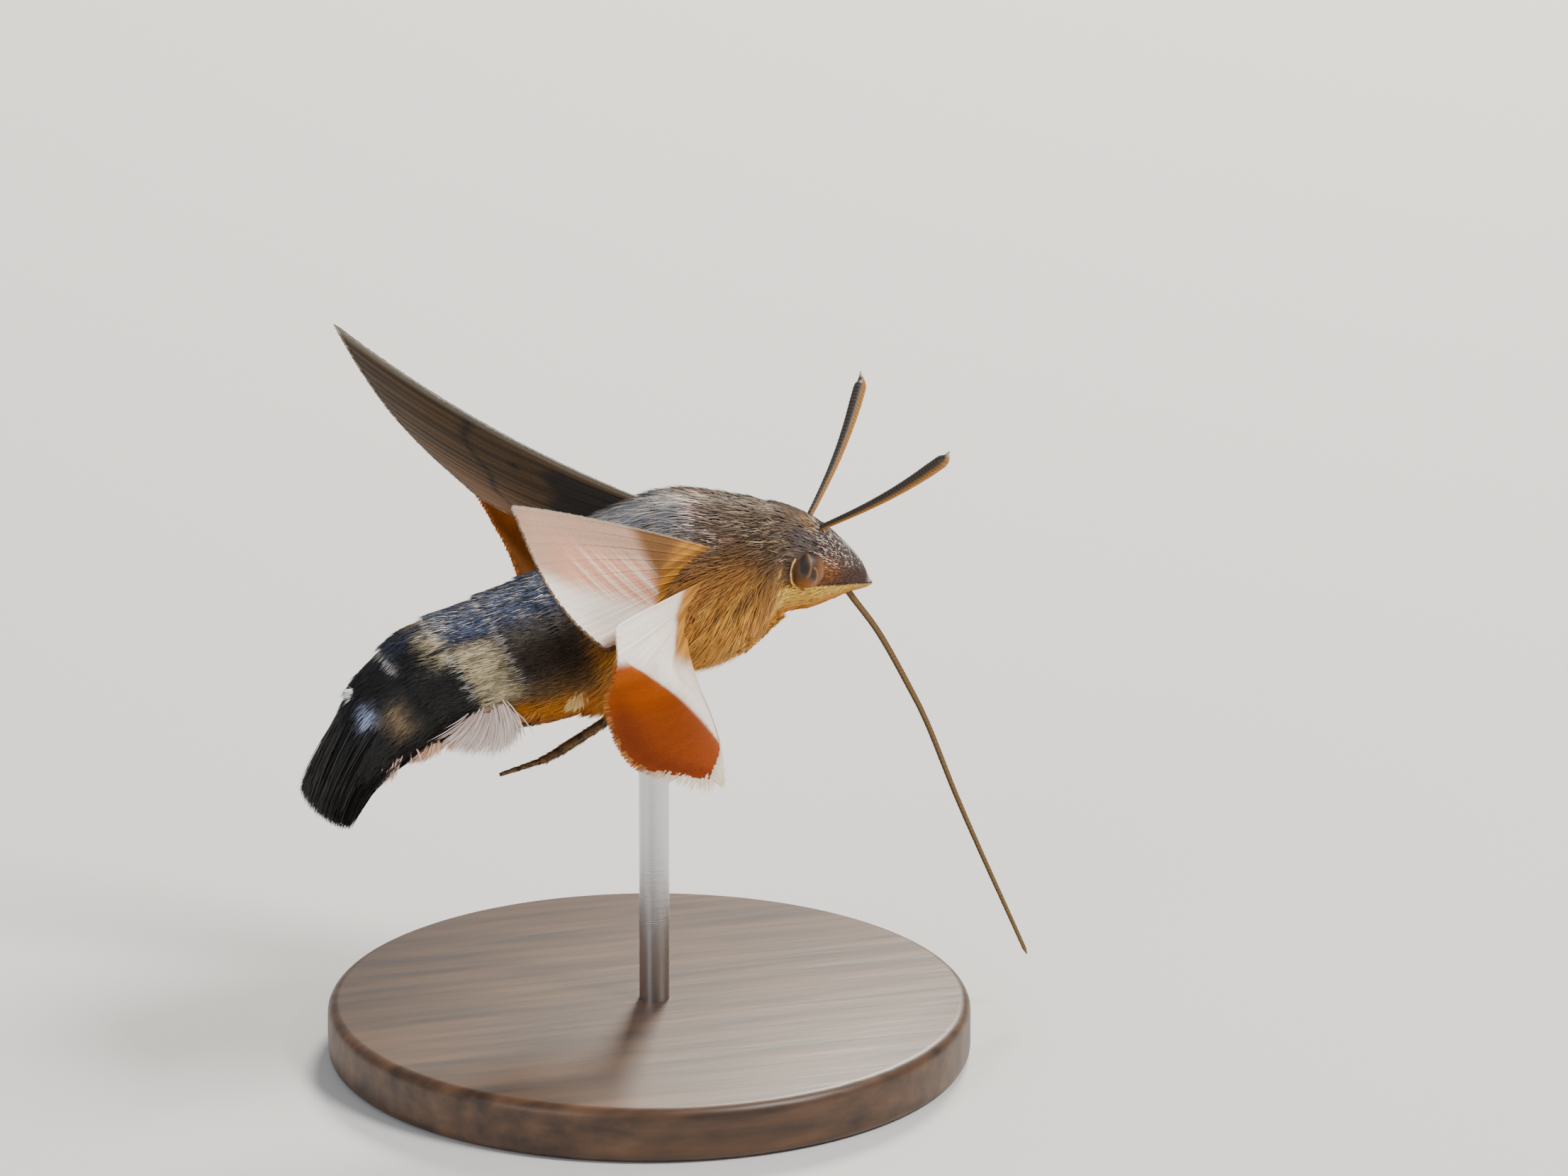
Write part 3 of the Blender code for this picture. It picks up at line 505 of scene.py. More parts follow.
# The skin takes the coat's colour darkened, as painted shade beneath the hair.
skin_tint = coat_tint(station_grid, turn_grid, even_chance) * SKIN_PAINTED_SHADE
skin = mesh_piece("moth_skin", in_place(np.concatenate([skin_points, skin_ends])),
                  tube_faces(SKIN_ROWS, SKIN_SIDES), tube_tints(skin_tint))
bpy.ops.object.select_all(action="DESELECT")
skin.select_set(True)
bpy.context.view_layer.objects.active = skin
bpy.ops.object.mode_set(mode="EDIT")
bpy.ops.mesh.select_all(action="SELECT")
bpy.ops.mesh.normals_make_consistent(inside=False)
bpy.ops.object.mode_set(mode="OBJECT")
place_piece(
    skin, skin_finish, "coat_grey_brown", "head", "thorax", "abdomen", "palp_left", "palp_right"
)


# The coat of hair and hair-like scales. Thousands of thin flat tapered tufts root in the skin and
# lie backward over one another, shortest on the snout, longest on the thorax, with each ring of the
# abdomen combed flat. Every tuft is a closed solid of few faces and takes the colour of its root,
# with painted shade towards the root and painted light towards the tip.
HAIR_FINISH = tinted_finish("moth_hair", 0.5, specular=0.4)
HAIR_ROOT_DEPTH = 0.04
TUFT_PATCH = 0.003
EYE_CENTRE = np.array((5.60, 1.90, -1.88))
EYE_RADII = np.array((0.98, 0.92, 1.02))
EYE_CLEARANCE = 1.04


def square_to(direction, axis):
    """What is left of a direction once its share along a unit axis is taken off."""
    return direction - axis * np.sum(direction * axis, -1, keepdims=True)


def tufts(name, finish, slot, paths, flats, widths, tints, patches, *replaced, thick=0.34):
    """Closed tapered blades along paths, each of the same count of points and three sides."""
    count, points = paths.shape[:2]
    rings = points - 1
    run = unit(np.gradient(paths, axis=1))
    across = unit(square_to(flats[:, None], run))
    ridge = np.cross(across, run)[:, :rings]
    base, half = paths[:, :rings], widths[..., None] / 2
    edge = across[:, :rings] * half
    ring = np.stack([base - edge, base + edge, base + ridge * half * 2 * thick], 2)
    body = ring.reshape(count, rings * 3, 3)
    places = np.concatenate([body, paths[:, -1:]], 1).reshape(-1, 3)
    each = rings * 3 + 1
    first = (np.arange(count) * each)[:, None, None]
    tip = each - 1
    end = tip - 3
    wall = grid_faces(rings, 3)[None] + first
    point = np.array([[end, end + 1, tip], [end + 1, end + 2, tip], [end + 2, end, tip]])[None] + first
    root = np.array([[2, 1, 0]])[None] + first
    faces = [wall.reshape(-1, 4), point.reshape(-1, 3), root.reshape(-1, 3)]
    colours = np.repeat(tints[:, :rings], 3, axis=1)
    colours = np.concatenate([colours, tints[:, -1:]], 1).reshape(-1, 3)
    share = np.append(np.repeat(np.arange(rings), 3) / rings, 1.0) - 0.5
    sideways = np.append(np.tile((-0.5, 0.5, 0.0), rings), 0.0)
    spread = np.stack([sideways, share], -1) * TUFT_PATCH
    unwrapped = (patches[:, None] + spread[None]).reshape(-1, 2)
    piece = mesh_piece(name, in_place(places), faces, colours, unwrapped, smooth=False)
    place_piece(piece, finish, slot, *replaced)


def unwrapped_place(t, turn):
    """Where a root lies on the unwrapped skin: round the body across, and along it upward."""
    return np.stack([0.5 + turn / (2 * math.pi) * 0.98, 0.01 + t / 25.5], -1)


def combed(t, turn, length, lift, yaw):
    """Paths of hairs that leave the skin backward at a lift, veer by yaw and bend down to the coat."""
    place, back, girth, out = body_axes(t, turn, HAIR_ROOT_DEPTH)
    down = girth * np.where(turn < 0, -1.0, 1.0)[:, None]
    lie = back * np.cos(yaw)[:, None] + down * np.sin(yaw)[:, None]
    start = lie * np.cos(lift)[:, None] + out * np.sin(lift)[:, None]
    f = np.linspace(0.0, 1.0, 3)[None, :, None]
    length, lift = length[:, None, None], lift[:, None, None]
    bend = length * f ** 2 * (np.sin(lift) * 0.45)
    paths = place[:, None] + start[:, None] * (length * f) - out[:, None] * bend
    return paths, np.cross(out, lie)


def sample_stations(draw, count, first, last):
    """Stations and turns spread evenly over the skin's area between two stations."""
    t = draw.uniform(first, last, count * 3)
    rows = along(BODY, t)
    ahead = along(BODY, t + 0.05)
    size = (rows[:, 3] + rows[:, 4]) * np.hypot(ahead[:, 0] - rows[:, 0], ahead[:, 1] - rows[:, 1])
    keep = draw.uniform(0, size.max(), len(t)) < size
    t = t[keep][:count]
    return t, draw.uniform(-math.pi, math.pi, len(t))


def clear_of_eyes(t, turn):
    place = body_place(t, turn)
    away = np.abs(place * (1, 1, 0)) + place * (0, 0, 1) - EYE_CENTRE
    return np.linalg.norm(away / EYE_RADII, axis=-1) > EYE_CLEARANCE


def coat(name, slot, seed, count, first, last, lengths, widths, lifts):
    """Hair over both flanks from one station to another, a piece to a side."""
    draw = np.random.default_rng(seed)
    t, turn = sample_stations(draw, count, first, last)
    keep = clear_of_eyes(t, turn)
    t, turn = t[keep], turn[keep]
    chance = draw.uniform(0, 1, len(t))
    s = np.degrees(np.abs(turn))
    length = read_off(t, lengths) * draw.uniform(0.75, 1.2, len(t))
    width = read_off(t, widths) * draw.uniform(0.7, 1.3, len(t))
    lift = np.radians(read_off(t, lifts)) * draw.uniform(0.5, 1.5, len(t))
    chest = rise(60, 95, s) * rise(5.5, 7.0, t) * fall(11.0, 13.0, t) * fall(150, 176, s)
    yaw = 0.85 * chest + draw.normal(0.0, 0.16, len(t))
    paths, flats = combed(t, turn, length, lift, yaw)
    base = coat_tint(t, turn, chance)
    shade = draw.uniform(0.6, 1.25, len(t))[:, None]
    # Each tuft is darker at its root and lighter at its tip: painted shade deep in the coat and painted
    # light on the tips.
    tints = np.stack([base * 0.45, base * shade, base * shade * 1.3 + 0.004], 1)
    wide = np.stack([width, width * 0.9], -1)
    patches = unwrapped_place(t, turn)
    for side, mask in (("right", turn < 0), ("left", turn >= 0)):
        tufts(name + "_" + side, HAIR_FINISH, slot, paths[mask], flats[mask], wide[mask],
              tints[mask], patches[mask])


coat("coat_head", "coat_grey_brown", 11, 20000, 0.05, 6.4,
     ((0.0, 0.18), (1.5, 0.28), (3.0, 0.40), (5.0, 0.70), (6.4, 1.10)),
     ((0.0, 0.045), (3.0, 0.055), (6.4, 0.065)),
     ((0.0, 12), (3.0, 18), (6.4, 20)))
coat("coat_thorax", "coat_grey_brown", 12, 38000, 5.9, 13.6,
     ((5.9, 1.15), (7.5, 1.6), (12.0, 1.7), (13.6, 1.3)),
     ((5.9, 0.052), (9.0, 0.056), (13.6, 0.066)),
     ((5.9, 18), (8.0, 19), (13.6, 15)))
coat("coat_abdomen", "coat_black", 13, 36000, 13.0, 22.6,
     ((13.0, 1.0), (16.0, 0.80), (20.0, 0.80), (22.4, 1.2)),
     ((13.0, 0.066), (18.0, 0.060), (22.4, 0.066)),
     ((13.0, 14), (16.0, 12), (22.4, 15)))


# The side tufts of the abdomen. Fans of long soft hair stand out of the flank low down at the rear
# edge of each ring, white and widest in the middle of the abdomen, amber and pinkish behind.
SIDE_TUFTS = (
    # station, turn, spread in stations, spread round, hairs, length, flare, lean back, root and tip
    (15.0, 116, 0.16, 4, 140, 1.1, 0.30, 0.10, (196, 142, 66), (252, 220, 150)),
    (16.6, 126, 0.35, 5, 90, 1.0, 0.25, 0.60, (150, 96, 34), (226, 158, 64)),
    (17.75, 112, 0.46, 7, 1100, 2.5, 0.50, 0.30, (238, 212, 204), (255, 240, 232)),
    (19.4, 134, 0.30, 5, 160, 1.2, 0.40, 0.60, (196, 128, 60), (248, 206, 150)),
    (20.35, 126, 0.26, 5, 340, 1.2, 0.40, 0.90, (238, 186, 150), (252, 222, 196)),
    (21.7, 112, 0.45, 6, 460, 1.5, 0.30, 1.10, (228, 178, 158), (252, 226, 214)),
    (20.95, 2, 0.06, 3, 60, 0.75, 0.95, 0.20, (236, 236, 244), (255, 255, 255)),
)
TUFT_HAIR_WIDTH = 0.085
draw = np.random.default_rng(21)
tuft_parts = []
for station, around, spread, spread_round, hairs, reach, flare, lean, root_tone, tip_tone in SIDE_TUFTS:
    for side in (-1, 1):
        t = draw.normal(station, spread * 0.45, hairs)
        turn = np.radians(draw.normal(around, spread_round * 0.6, hairs)) * side
        place, back, girth, out = body_axes(t, turn, 0.06)
        fan = (t - station)[:, None] / spread * 0.55 + draw.normal(0.0, 0.10, hairs)[:, None]
        aim = back * (lean + fan) + out * flare + girth * side * 0.75 * math.sin(math.radians(around))
        aim = unit(aim + draw.normal(0, 0.07, (hairs, 3)))
        length = reach * draw.uniform(0.65, 1.0, hairs)[:, None, None]
        f = np.linspace(0, 1, 4)[None, :, None]
        sag = (back * 0.25 - out * 0.12)[:, None]
        paths = place[:, None] + aim[:, None] * length * f + sag * length * f * f
        width = TUFT_HAIR_WIDTH * draw.uniform(0.7, 1.2, hairs)
        wide = np.stack([width * 0.8, width, width * 0.75], -1)
        shade = draw.uniform(0.85, 1.12, hairs)[:, None, None]
        tints = (srgb(*root_tone) * (1 - f) + srgb(*tip_tone) * f) * shade
        tuft_parts.append((paths, np.cross(out, aim), wide, tints, unwrapped_place(t, turn)))
tufts("coat_side_tufts", HAIR_FINISH, "coat_black", *map(np.concatenate, zip(*tuft_parts)))


# The tail fan. Long flat black scales in several layers spread from the last rings of the abdomen
# into a square-ended brush. Each one tapers to a fine tip, and the lowest ones are the shortest.
VANES = 4200
VANE_POINTS = 6
VANE_STARTS = (20.7, 23.4)
VANE_WIDTHS = (0.06, 0.14)
VANE_TAPER = np.array((0.6, 1.0, 1.0, 0.8, 0.45))
LEAST_VANE = 0.8
TAIL_END = 25.0


def tail_place(t, across_fan, height):
    place, half_width, half_height, under = section(t)
    place = place - under * (height * half_height)[..., None]
    place[..., 1] = across_fan * half_width
    return place


TAIL_FINISH = tinted_finish("tail_hair", 0.7)
draw = np.random.default_rng(31)
across_fan = draw.uniform(-0.97, 0.97, VANES)
height = draw.uniform(-1.0, 1.0, VANES) * np.sqrt(1 - 0.8 * across_fan ** 2)
start = draw.uniform(*VANE_STARTS, VANES)
rounding = 0.30 * np.abs(height + 0.1)
end = TAIL_END - 0.30 * across_fan ** 2 - rounding - draw.gamma(1.2, 0.26, VANES)
end = np.maximum(end, start + LEAST_VANE)
f = np.linspace(0, 1, VANE_POINTS)
t = start[:, None] + (end - start)[:, None] * f[None]
inward = 0.84 + 0.14 * f[None] + 0 * t
wander = draw.normal(0, 0.045, (VANES, 1)) * f[None] ** 2
lifted = draw.normal(0, 0.06, (VANES, 1)) * f[None] ** 2
paths = tail_place(t, across_fan[:, None] * inward + wander, height[:, None] * inward + lifted)
flats = np.tile((0.0, 1.0, 0.0), (VANES, 1)) + draw.normal(0, 0.35, (VANES, 3))
width = draw.uniform(*VANE_WIDTHS, VANES)[:, None] * VANE_TAPER[None]
sheen = draw.uniform(0.6, 1.3, (VANES, 1, 1)) * np.linspace(0.8, 1.2, VANE_POINTS)[None, :, None]
tail_tint = toward(COAT_BLACK, srgb(48, 41, 35), draw.uniform(0, 1, VANES) ** 3)
turn = np.arctan2(across_fan, height)
tufts("tail_brush", TAIL_FINISH, "coat_black", paths, flats, width,
      tail_tint[:, None] * sheen, unwrapped_place(start, turn), "tail_fan", thick=0.22)


# The eyes. Large smooth compound eyes of dark brown set half into the sides of the head, with a
# fine honeycomb of facets, a dark false pupil, and curved tan streaks in front of it.
EYE_OUT = np.array((-0.286, 0.907, 0.309))
EYE_FORWARD = np.array((0.954, 0.301, 0.0))
EYE_UP = np.array((0.093, -0.295, 0.951))
EYE_SEGMENTS, EYE_RINGS = 128, 80
SIDES = ((-1, "right"), (1, "left"))
FACET_SCALE = 24000.0
FACET_DEPTH = 0.000012


def eye_tint(directions):
    """Colour of the eye by the direction from its middle, for an eye on the left side."""
    p, q = directions @ EYE_FORWARD, directions @ EYE_UP
    facing = directions @ EYE_OUT > 0
    pupil = np.hypot((p + 0.09) / 0.27, (q - 0.12) / 0.50)
    second = np.hypot((p - 0.40) / 0.13, (q + 0.36) / 0.24)
    return layered(
        srgb(88, 56, 22),
        (srgb(54, 35, 18), rise(-0.6, 0.2, p + 0.4 * q)),
        # Golden brown low on the eye is painted warm light reflected from below.
        (srgb(150, 90, 28), rise(0.40, 0.95, -q)),
        (srgb(128, 78, 32), rise(0.45, 0.85, p)),
        (srgb(140, 92, 46), hump(pupil, 1.35, 0.16) * rise(-0.05, 0.15, p) * facing),
        (srgb(26, 16, 10), fall(0.75, 1.15, pupil) * facing),
        (srgb(40, 24, 12), fall(0.7, 1.2, second) * facing),
        (srgb(160, 108, 58), hump(second, 1.6, 0.20) * rise(0.35, 0.5, p) * facing),
        (srgb(44, 28, 18), hump(p - 0.30 * q, 0.26, 0.07) * rise(0.3, 0.5, q) * facing),
    )


COMPOUND_EYE = tinted_finish("compound_eye", 0.5, 0.10, 9000.0)
nodes, links = COMPOUND_EYE.node_tree.nodes, COMPOUND_EYE.node_tree.links
shader = nodes["Principled BSDF"]
facets = nodes.new("ShaderNodeTexVoronoi")
set_inputs(facets, {"Scale": FACET_SCALE})
where = nodes.new("ShaderNodeTexCoord")
links.new(where.outputs["Object"], facets.inputs["Vector"])
relief(nodes, links, facets.outputs["Distance"], FACET_DEPTH, shader, 0.6)
set_inputs(shader, {"Coat Weight": 0.04, "Coat Roughness": 0.18})
for side, word in SIDES:
    bpy.ops.object.select_all(action="DESELECT")
    bpy.ops.mesh.primitive_uv_sphere_add(segments=EYE_SEGMENTS, ring_count=EYE_RINGS, radius=1.0)
    eye = bpy.context.object
    eye.name = eye.data.name = "compound_eye_" + word
    paint(eye.data, eye_tint(np.array([v.co for v in eye.data.vertices]) * (1, side, 1)))
    eye.scale = EYE_RADII * MM
    eye.location = (BACK + EYE_CENTRE * (1, side, 1)) * MM
    bpy.ops.object.transform_apply(location=True, rotation=True, scale=True)
    bpy.ops.object.shade_smooth()
    place_piece(eye, COMPOUND_EYE, "eye", "eye_" + word)


# The pale lines round the eyes. One row of short cream-gold hairs lies against the skin behind each
# eye and turns forward beneath it. Each hair roots in the skin and points along the row.
LINE_HAIRS = 190
LINE_START, LINE_STOP = 135, 262
LINE_HAIR_LENGTH = 0.34
LINE_HAIR_WIDTHS = (0.030, 0.028)
SKIN_SAMPLES = 240


def straight_hairs(root, aim, length, start=0.0):
    """Three points to a hair, from a share of its length, start, to the whole of it along its aim."""
    share = np.linspace(start, 1, 3)[None, :, None]
    return root[:, None] + aim[:, None] * np.reshape(length, (-1, 1, 1)) * share


draw = np.random.default_rng(71)
t_grid, turn_grid = np.meshgrid(
    np.linspace(3.6, 6.6, SKIN_SAMPLES), np.radians(np.linspace(50, 130, SKIN_SAMPLES)), indexing="ij"
)
skin_spots = body_place(t_grid, turn_grid).reshape(-1, 3)[:, [0, 2]]
bearing = np.radians(draw.uniform(LINE_START, LINE_STOP, LINE_HAIRS))
away = draw.normal(1.06, 0.022, LINE_HAIRS)[:, None]
round_eye = np.stack([np.cos(bearing), np.sin(bearing)], -1)
on_line = EYE_CENTRE[[0, 2]] + EYE_RADII[[0, 2]] * away * round_eye
nearest = np.array([np.argmin(np.hypot(*(skin_spots - spot).T)) for spot in on_line])
t, turn = t_grid.reshape(-1)[nearest], turn_grid.reshape(-1)[nearest]
place, back, girth, out = body_axes(t, turn, -0.13)
aim = square_to(np.stack([-np.sin(bearing), 0 * bearing, np.cos(bearing)], -1), out)
paths = straight_hairs(place, aim, LINE_HAIR_LENGTH)
pale = np.tile(srgb(236, 178, 96), (LINE_HAIRS, 3, 1)) * draw.uniform(0.5, 1.1, (LINE_HAIRS, 1, 1))
width = np.tile(LINE_HAIR_WIDTHS, (LINE_HAIRS, 1))
for side, word in SIDES:
    mirror = np.array((1, side, 1))
    tufts("eye_line_" + word, HAIR_FINISH, "coat_grey_brown", paths * mirror,
          np.cross(out, aim) * mirror, width, pale, unwrapped_place(t, turn * side))


# The feelers. Each is a slender ringed rod that thickens into a club and ends in a small hook,
# clothed in dark grey scales above and bare and orange-brown below, where the orange-brown is
# painted warm light reflected from beneath.
ANTENNA_ROOT = np.array((6.78, 1.15, 0.10))
ANTENNA_TIP = np.array((11.76, 7.50, 5.50))
ANTENNA_ROWS, ANTENNA_SIDES = 190, 18
ANTENNA_RINGS = 42


def tube(places, radii, sides):
    """Rings round a line of places, carried along it without twist, and the faces that close them."""
    run = unit(np.gradient(places, axis=0))
    side = np.cross(run[0], (0.0, 1.0, 0.0))
    side /= np.linalg.norm(side)
    upward = []
    for direction in run:
        side = side - direction * (side @ direction)
        side = side / np.linalg.norm(side)
        upward.append(side)
    outward = np.cross(run, upward)
    angle = np.linspace(0, 2 * math.pi, sides, endpoint=False)
    ring = np.array(upward)[:, None] * np.cos(angle)[None, :, None]
    ring = ring + outward[:, None] * np.sin(angle)[None, :, None]
    points = places[:, None] + ring * np.asarray(radii)[:, None, None]
    points = np.concatenate([points.reshape(-1, 3), places[[0, -1]]])
    return points, tube_faces(len(places), sides), angle


def tube_piece(name, finish, slot, node, points, faces, tint):
    place_piece(mesh_piece(name, in_place(points), faces, tube_tints(tint)), finish, slot, node)


HORN_FINISH = tinted_finish("horn", 0.5, 0.18, 16000.0, 0.00001)
for side, word in SIDES:
    root, tip = ANTENNA_ROOT * (1, side, 1), ANTENNA_TIP * (1, side, 1)
    run = tip - root
    bow = np.cross(run, (0.0, -1.0, 0.0))
    bow = bow / np.linalg.norm(bow)
    f = np.linspace(-0.06, 1.0, ANTENNA_ROWS)
    bend = 0.3 * np.sin(math.pi * np.clip(f, 0, 1)) - 0.2 * rise(0.93, 1.0, f)
    centre = root + run * f[:, None] + bow * bend[:, None]
    club = np.clip(f / 0.8, 0, 1) ** 1.3
    ringed = np.abs(np.sin(f * math.pi * ANTENNA_RINGS))
    radius = (0.16 + 0.17 * club) * (1 - 0.86 * rise(0.90, 1.0, f)) * (1 + 0.07 * ringed)
    points, faces, angle = tube(centre, radius, ANTENNA_SIDES)
    above = 0.5 + 0.5 * np.cos(angle)[None] + 0 * f[:, None]
    rings = (ringed ** 6)[:, None] + 0 * above
    upper = toward(srgb(42, 36, 29), srgb(78, 71, 61), rings * 0.6)
    # The orange-brown of the underside is painted warm light reflected from below.
    lower = toward(srgb(176, 116, 36), srgb(96, 60, 20), rings * 0.8)
    pale_tip = rise(0.955, 0.99, f)[:, None] * 0.7 + 0 * above
    tint = layered(lower, (upper, rise(0.46, 0.78, above)), (srgb(214, 208, 196), pale_tip))
    tube_piece("feeler_" + word, HORN_FINISH, "antenna", "antenna_" + word, points, faces, tint)


# The proboscis. Two long channelled halves lie side by side as one dark sucking tube, ringed all
# along, which leaves the head between the palps and thins towards its blunt tip.
PROBOSCIS = ((7.9, -3.0), (8.68, -4.24), (10.22, -6.47), (11.84, -9.51), (12.95, -11.85),
             (14.50, -15.85), (16.00, -19.42), (17.37, -22.57), (18.55, -25.30))
PROBOSCIS_ROWS, PROBOSCIS_SIDES = 420, 20
PROBOSCIS_HALF_WAVES = 260
GROOVE_DEPTH = 0.34
f = np.linspace(0, len(PROBOSCIS) - 1, PROBOSCIS_ROWS)
line = along(PROBOSCIS, f)
centre = np.stack([line[:, 0], 0 * f, line[:, 1]], -1)
share = f / f[-1]
wave = np.sin(share * math.pi * PROBOSCIS_HALF_WAVES)
radius = (0.235 - 0.105 * share) * (1 - 0.55 * rise(0.985, 1.0, share)) * (1 + 0.035 * wave)
points, faces, angle = tube(centre, radius, PROBOSCIS_SIDES)
groove = np.abs(np.cos(angle)) ** 8
inward = np.repeat(centre, PROBOSCIS_SIDES, axis=0) - points[:-2]
points[:-2] += inward * np.tile(groove * GROOVE_DEPTH, len(f))[:, None]
tint = layered(
    srgb(38, 28, 14),
    (srgb(90, 66, 32), (0.5 + 0.5 * wave)[:, None] * np.abs(np.sin(angle))[None]),
    (srgb(24, 17, 10), np.tile(groove, (len(f), 1)) * 0.8),
    # A pale gold band along each flank is painted sheen.
    (srgb(178, 132, 54), np.tile(rise(0.3, 1.0, np.sin(angle) ** 2), (len(f), 1)) * 0.25),
)
tube_piece("sucking_tube", HORN_FINISH, "horn", "proboscis", points, faces, tint)


# The legs. Six slender scaled legs: the front and middle pairs lie folded in the fur of the chest,
# and the hind pair trails under the belly, with a thigh, a shin, and a ringed foot.
LEG_FRONT = ((2.9, 1.5, -5.3), (4.1, 1.9, -4.3), (2.4, 1.3, -6.15), (0.6, 1.0, -7.0))
LEG_MIDDLE = ((0.6, 2.0, -6.2), (2.2, 2.7, -5.2), (-0.6, 2.3, -6.45), (-3.9, 2.2, -7.7))
LEG_HIND = ((-2.6, 1.2, -7.3), (-5.4, 1.3, -9.5), (-8.4, 1.3, -11.1), (-11.0, 1.3, -11.75))
LEG_HIND_TUCKED = ((-2.6, 1.2, -7.3), (-5.3, 1.5, -9.35), (-8.1, 1.6, -10.0), (-10.6, 1.6, -10.3))
# Colours of the upper side, the lower side, the joints, and the dark and the pale fringe hairs.
GOLDEN_LEG = ((190, 128, 44), (226, 160, 66), (120, 78, 30), (168, 108, 38), (246, 192, 96))
BROWN_LEG = ((76, 54, 30), (132, 96, 48), (40, 28, 18), (66, 46, 26), (150, 112, 62))
LEGS = (
    ("front_right", LEG_FRONT, -1, GOLDEN_LEG, 0.8), ("front_left", LEG_FRONT, 1, GOLDEN_LEG, 0.8),
    ("middle_right", LEG_MIDDLE, -1, GOLDEN_LEG, 0.8), ("middle_left", LEG_MIDDLE, 1, GOLDEN_LEG, 0.8),
    ("hind_right", LEG_HIND, -1, BROWN_LEG, 1.0), ("hind_left", LEG_HIND_TUCKED, 1, BROWN_LEG, 1.0),
)
# Half thickness and hair length from the root, 0, over the knee, 1, and the foot, 2, to the tip, 3.
LEG_RADII = ((0, 0.30), (0.5, 0.34), (1, 0.24), (1.6, 0.26), (2, 0.20), (2.2, 0.13), (3, 0.09))
LEG_HAIR_LENGTHS = ((0, 0.5), (1, 0.42), (2, 0.34), (3, 0.16))
LEG_ROWS, LEG_SIDES, LEG_HAIRS = 150, 14, 640
LEG_FINISH = tinted_finish("leg_scales", 0.5, 0.3, 12000.0, 0.00002)
draw = np.random.default_rng(41)
for word, joints, side, leg_colours, stout in LEGS:
    top_tint, low_tint, joint_tint, dark_tint, pale_tint = (srgb(*colour) for colour in leg_colours)
    joints = np.array(joints) * (1, side, 1)
    f = np.linspace(0, 3, LEG_ROWS)
    i = np.minimum(f.astype(int), 2)
    straight = joints[i] + (joints[i + 1] - joints[i]) * (f - i)[:, None]
    centre = straight * 0.75 + along(joints, f) * 0.25
    radius = read_off(f, LEG_RADII) * stout
    foot = np.where(f > 2.0, 1 + 0.28 * np.abs(np.sin((f - 2.0) * math.pi * 5)) ** 3, 1.0)
    points, faces, angle = tube(centre, radius * foot, LEG_SIDES)
    under_side = np.tile(0.5 + 0.5 * np.cos(angle), (len(f), 1))
    joint_bands = rise(0.86, 1.0, np.abs(np.sin(f * math.pi * 2.5)))[:, None] + 0 * angle[None]
    tint = layered(top_tint, (low_tint, under_side), (joint_tint, joint_bands))
    tube_piece("limb_" + word, LEG_FINISH, "leg", "leg_" + word, points, faces, tint)

    g = draw.uniform(0.15, 2.95, LEG_HAIRS)
    i = np.minimum(g.astype(int), 2)
    spine = unit(joints[i + 1] - joints[i])
    root = np.stack([np.interp(g, f, centre[:, k]) for k in range(3)], -1)
    aim = unit(square_to(draw.normal(0, 1, (LEG_HAIRS, 3)) + (0, 0, -0.5), spine))
    root = root + aim * (np.interp(g, f, radius) * 0.8)[:, None]
    direction = spine * 0.9 + aim * 0.35
    length = read_off(g, LEG_HAIR_LENGTHS) * draw.uniform(0.7, 1.2, LEG_HAIRS)
    paths = straight_hairs(root, direction, length)
    width = np.tile((0.07, 0.06), (LEG_HAIRS, 1))
    colour = toward(dark_tint, pale_tint, draw.uniform(0, 1, LEG_HAIRS) ** 2)
    # Each fringe hair is darker at its root and lighter at its tip: painted shade and painted light.
    tints = colour[:, None] * np.array((0.7, 1.0, 1.2))[None, :, None]
    patches = np.stack([0.05 + 0.9 * g / 3, 0.5 + 0.4 * np.sin(draw.uniform(0, 6.28, LEG_HAIRS))], -1)
    tufts("limb_fringe_" + word, HAIR_FINISH, "leg", paths, np.cross(aim, spine), width, tints, patches)


# The forewings. A thin stiff membrane on nine raised veins, clothed in fine scales: grey-brown
# above with a dark base and dark cross lines, laid darker as painted shade, with a painted highlight
# along the front edge and painted light shining through the rear edge; and pink and white below,
# a painted sunlit sheen, with an orange-brown front deepened by painted shade.
WING_ROOT = np.array((-0.25, 3.70, 0.30))
SPAN_AXIS = np.array((-0.6887, 0.6252, 0.3672))
CHORD_AXIS = np.array((-0.0596, 0.4560, -0.8880))
UNDER_AXIS = np.array((0.7226, 0.6334, 0.2768))
FOREWING_LEADING = {
    -1: np.array(((-0.6, -0.1, 0.0), (10.1, -1.0, -1.5), (21.27, 0.0, 0.0))),
    1: np.array(((-0.6, -0.1, 0.0), (10.1, 0.7, -1.5), (21.27, 0.0, 0.0))),
}
FOREWING_INNER = np.array(((0.3, 1.9, -2.5), (5.6, 5.2, -1.6), (10.7, 6.25, -0.85)))
FOREWING_VEINS = (0.012, 0.09, 0.19, 0.30, 0.42, 0.54, 0.66, 0.78, 0.89)
LEFT_WINGS_TURN = math.radians(-10)
FOREWING_GRID, FOREWING_REACH = (120, 110), 0.985
VEIN_WIDTH = 0.0055
HALF_MEMBRANE, HALF_VEIN = 0.045, 0.045
PLEAT_DEPTH, PLEAT_WAVES = 0.012, 36


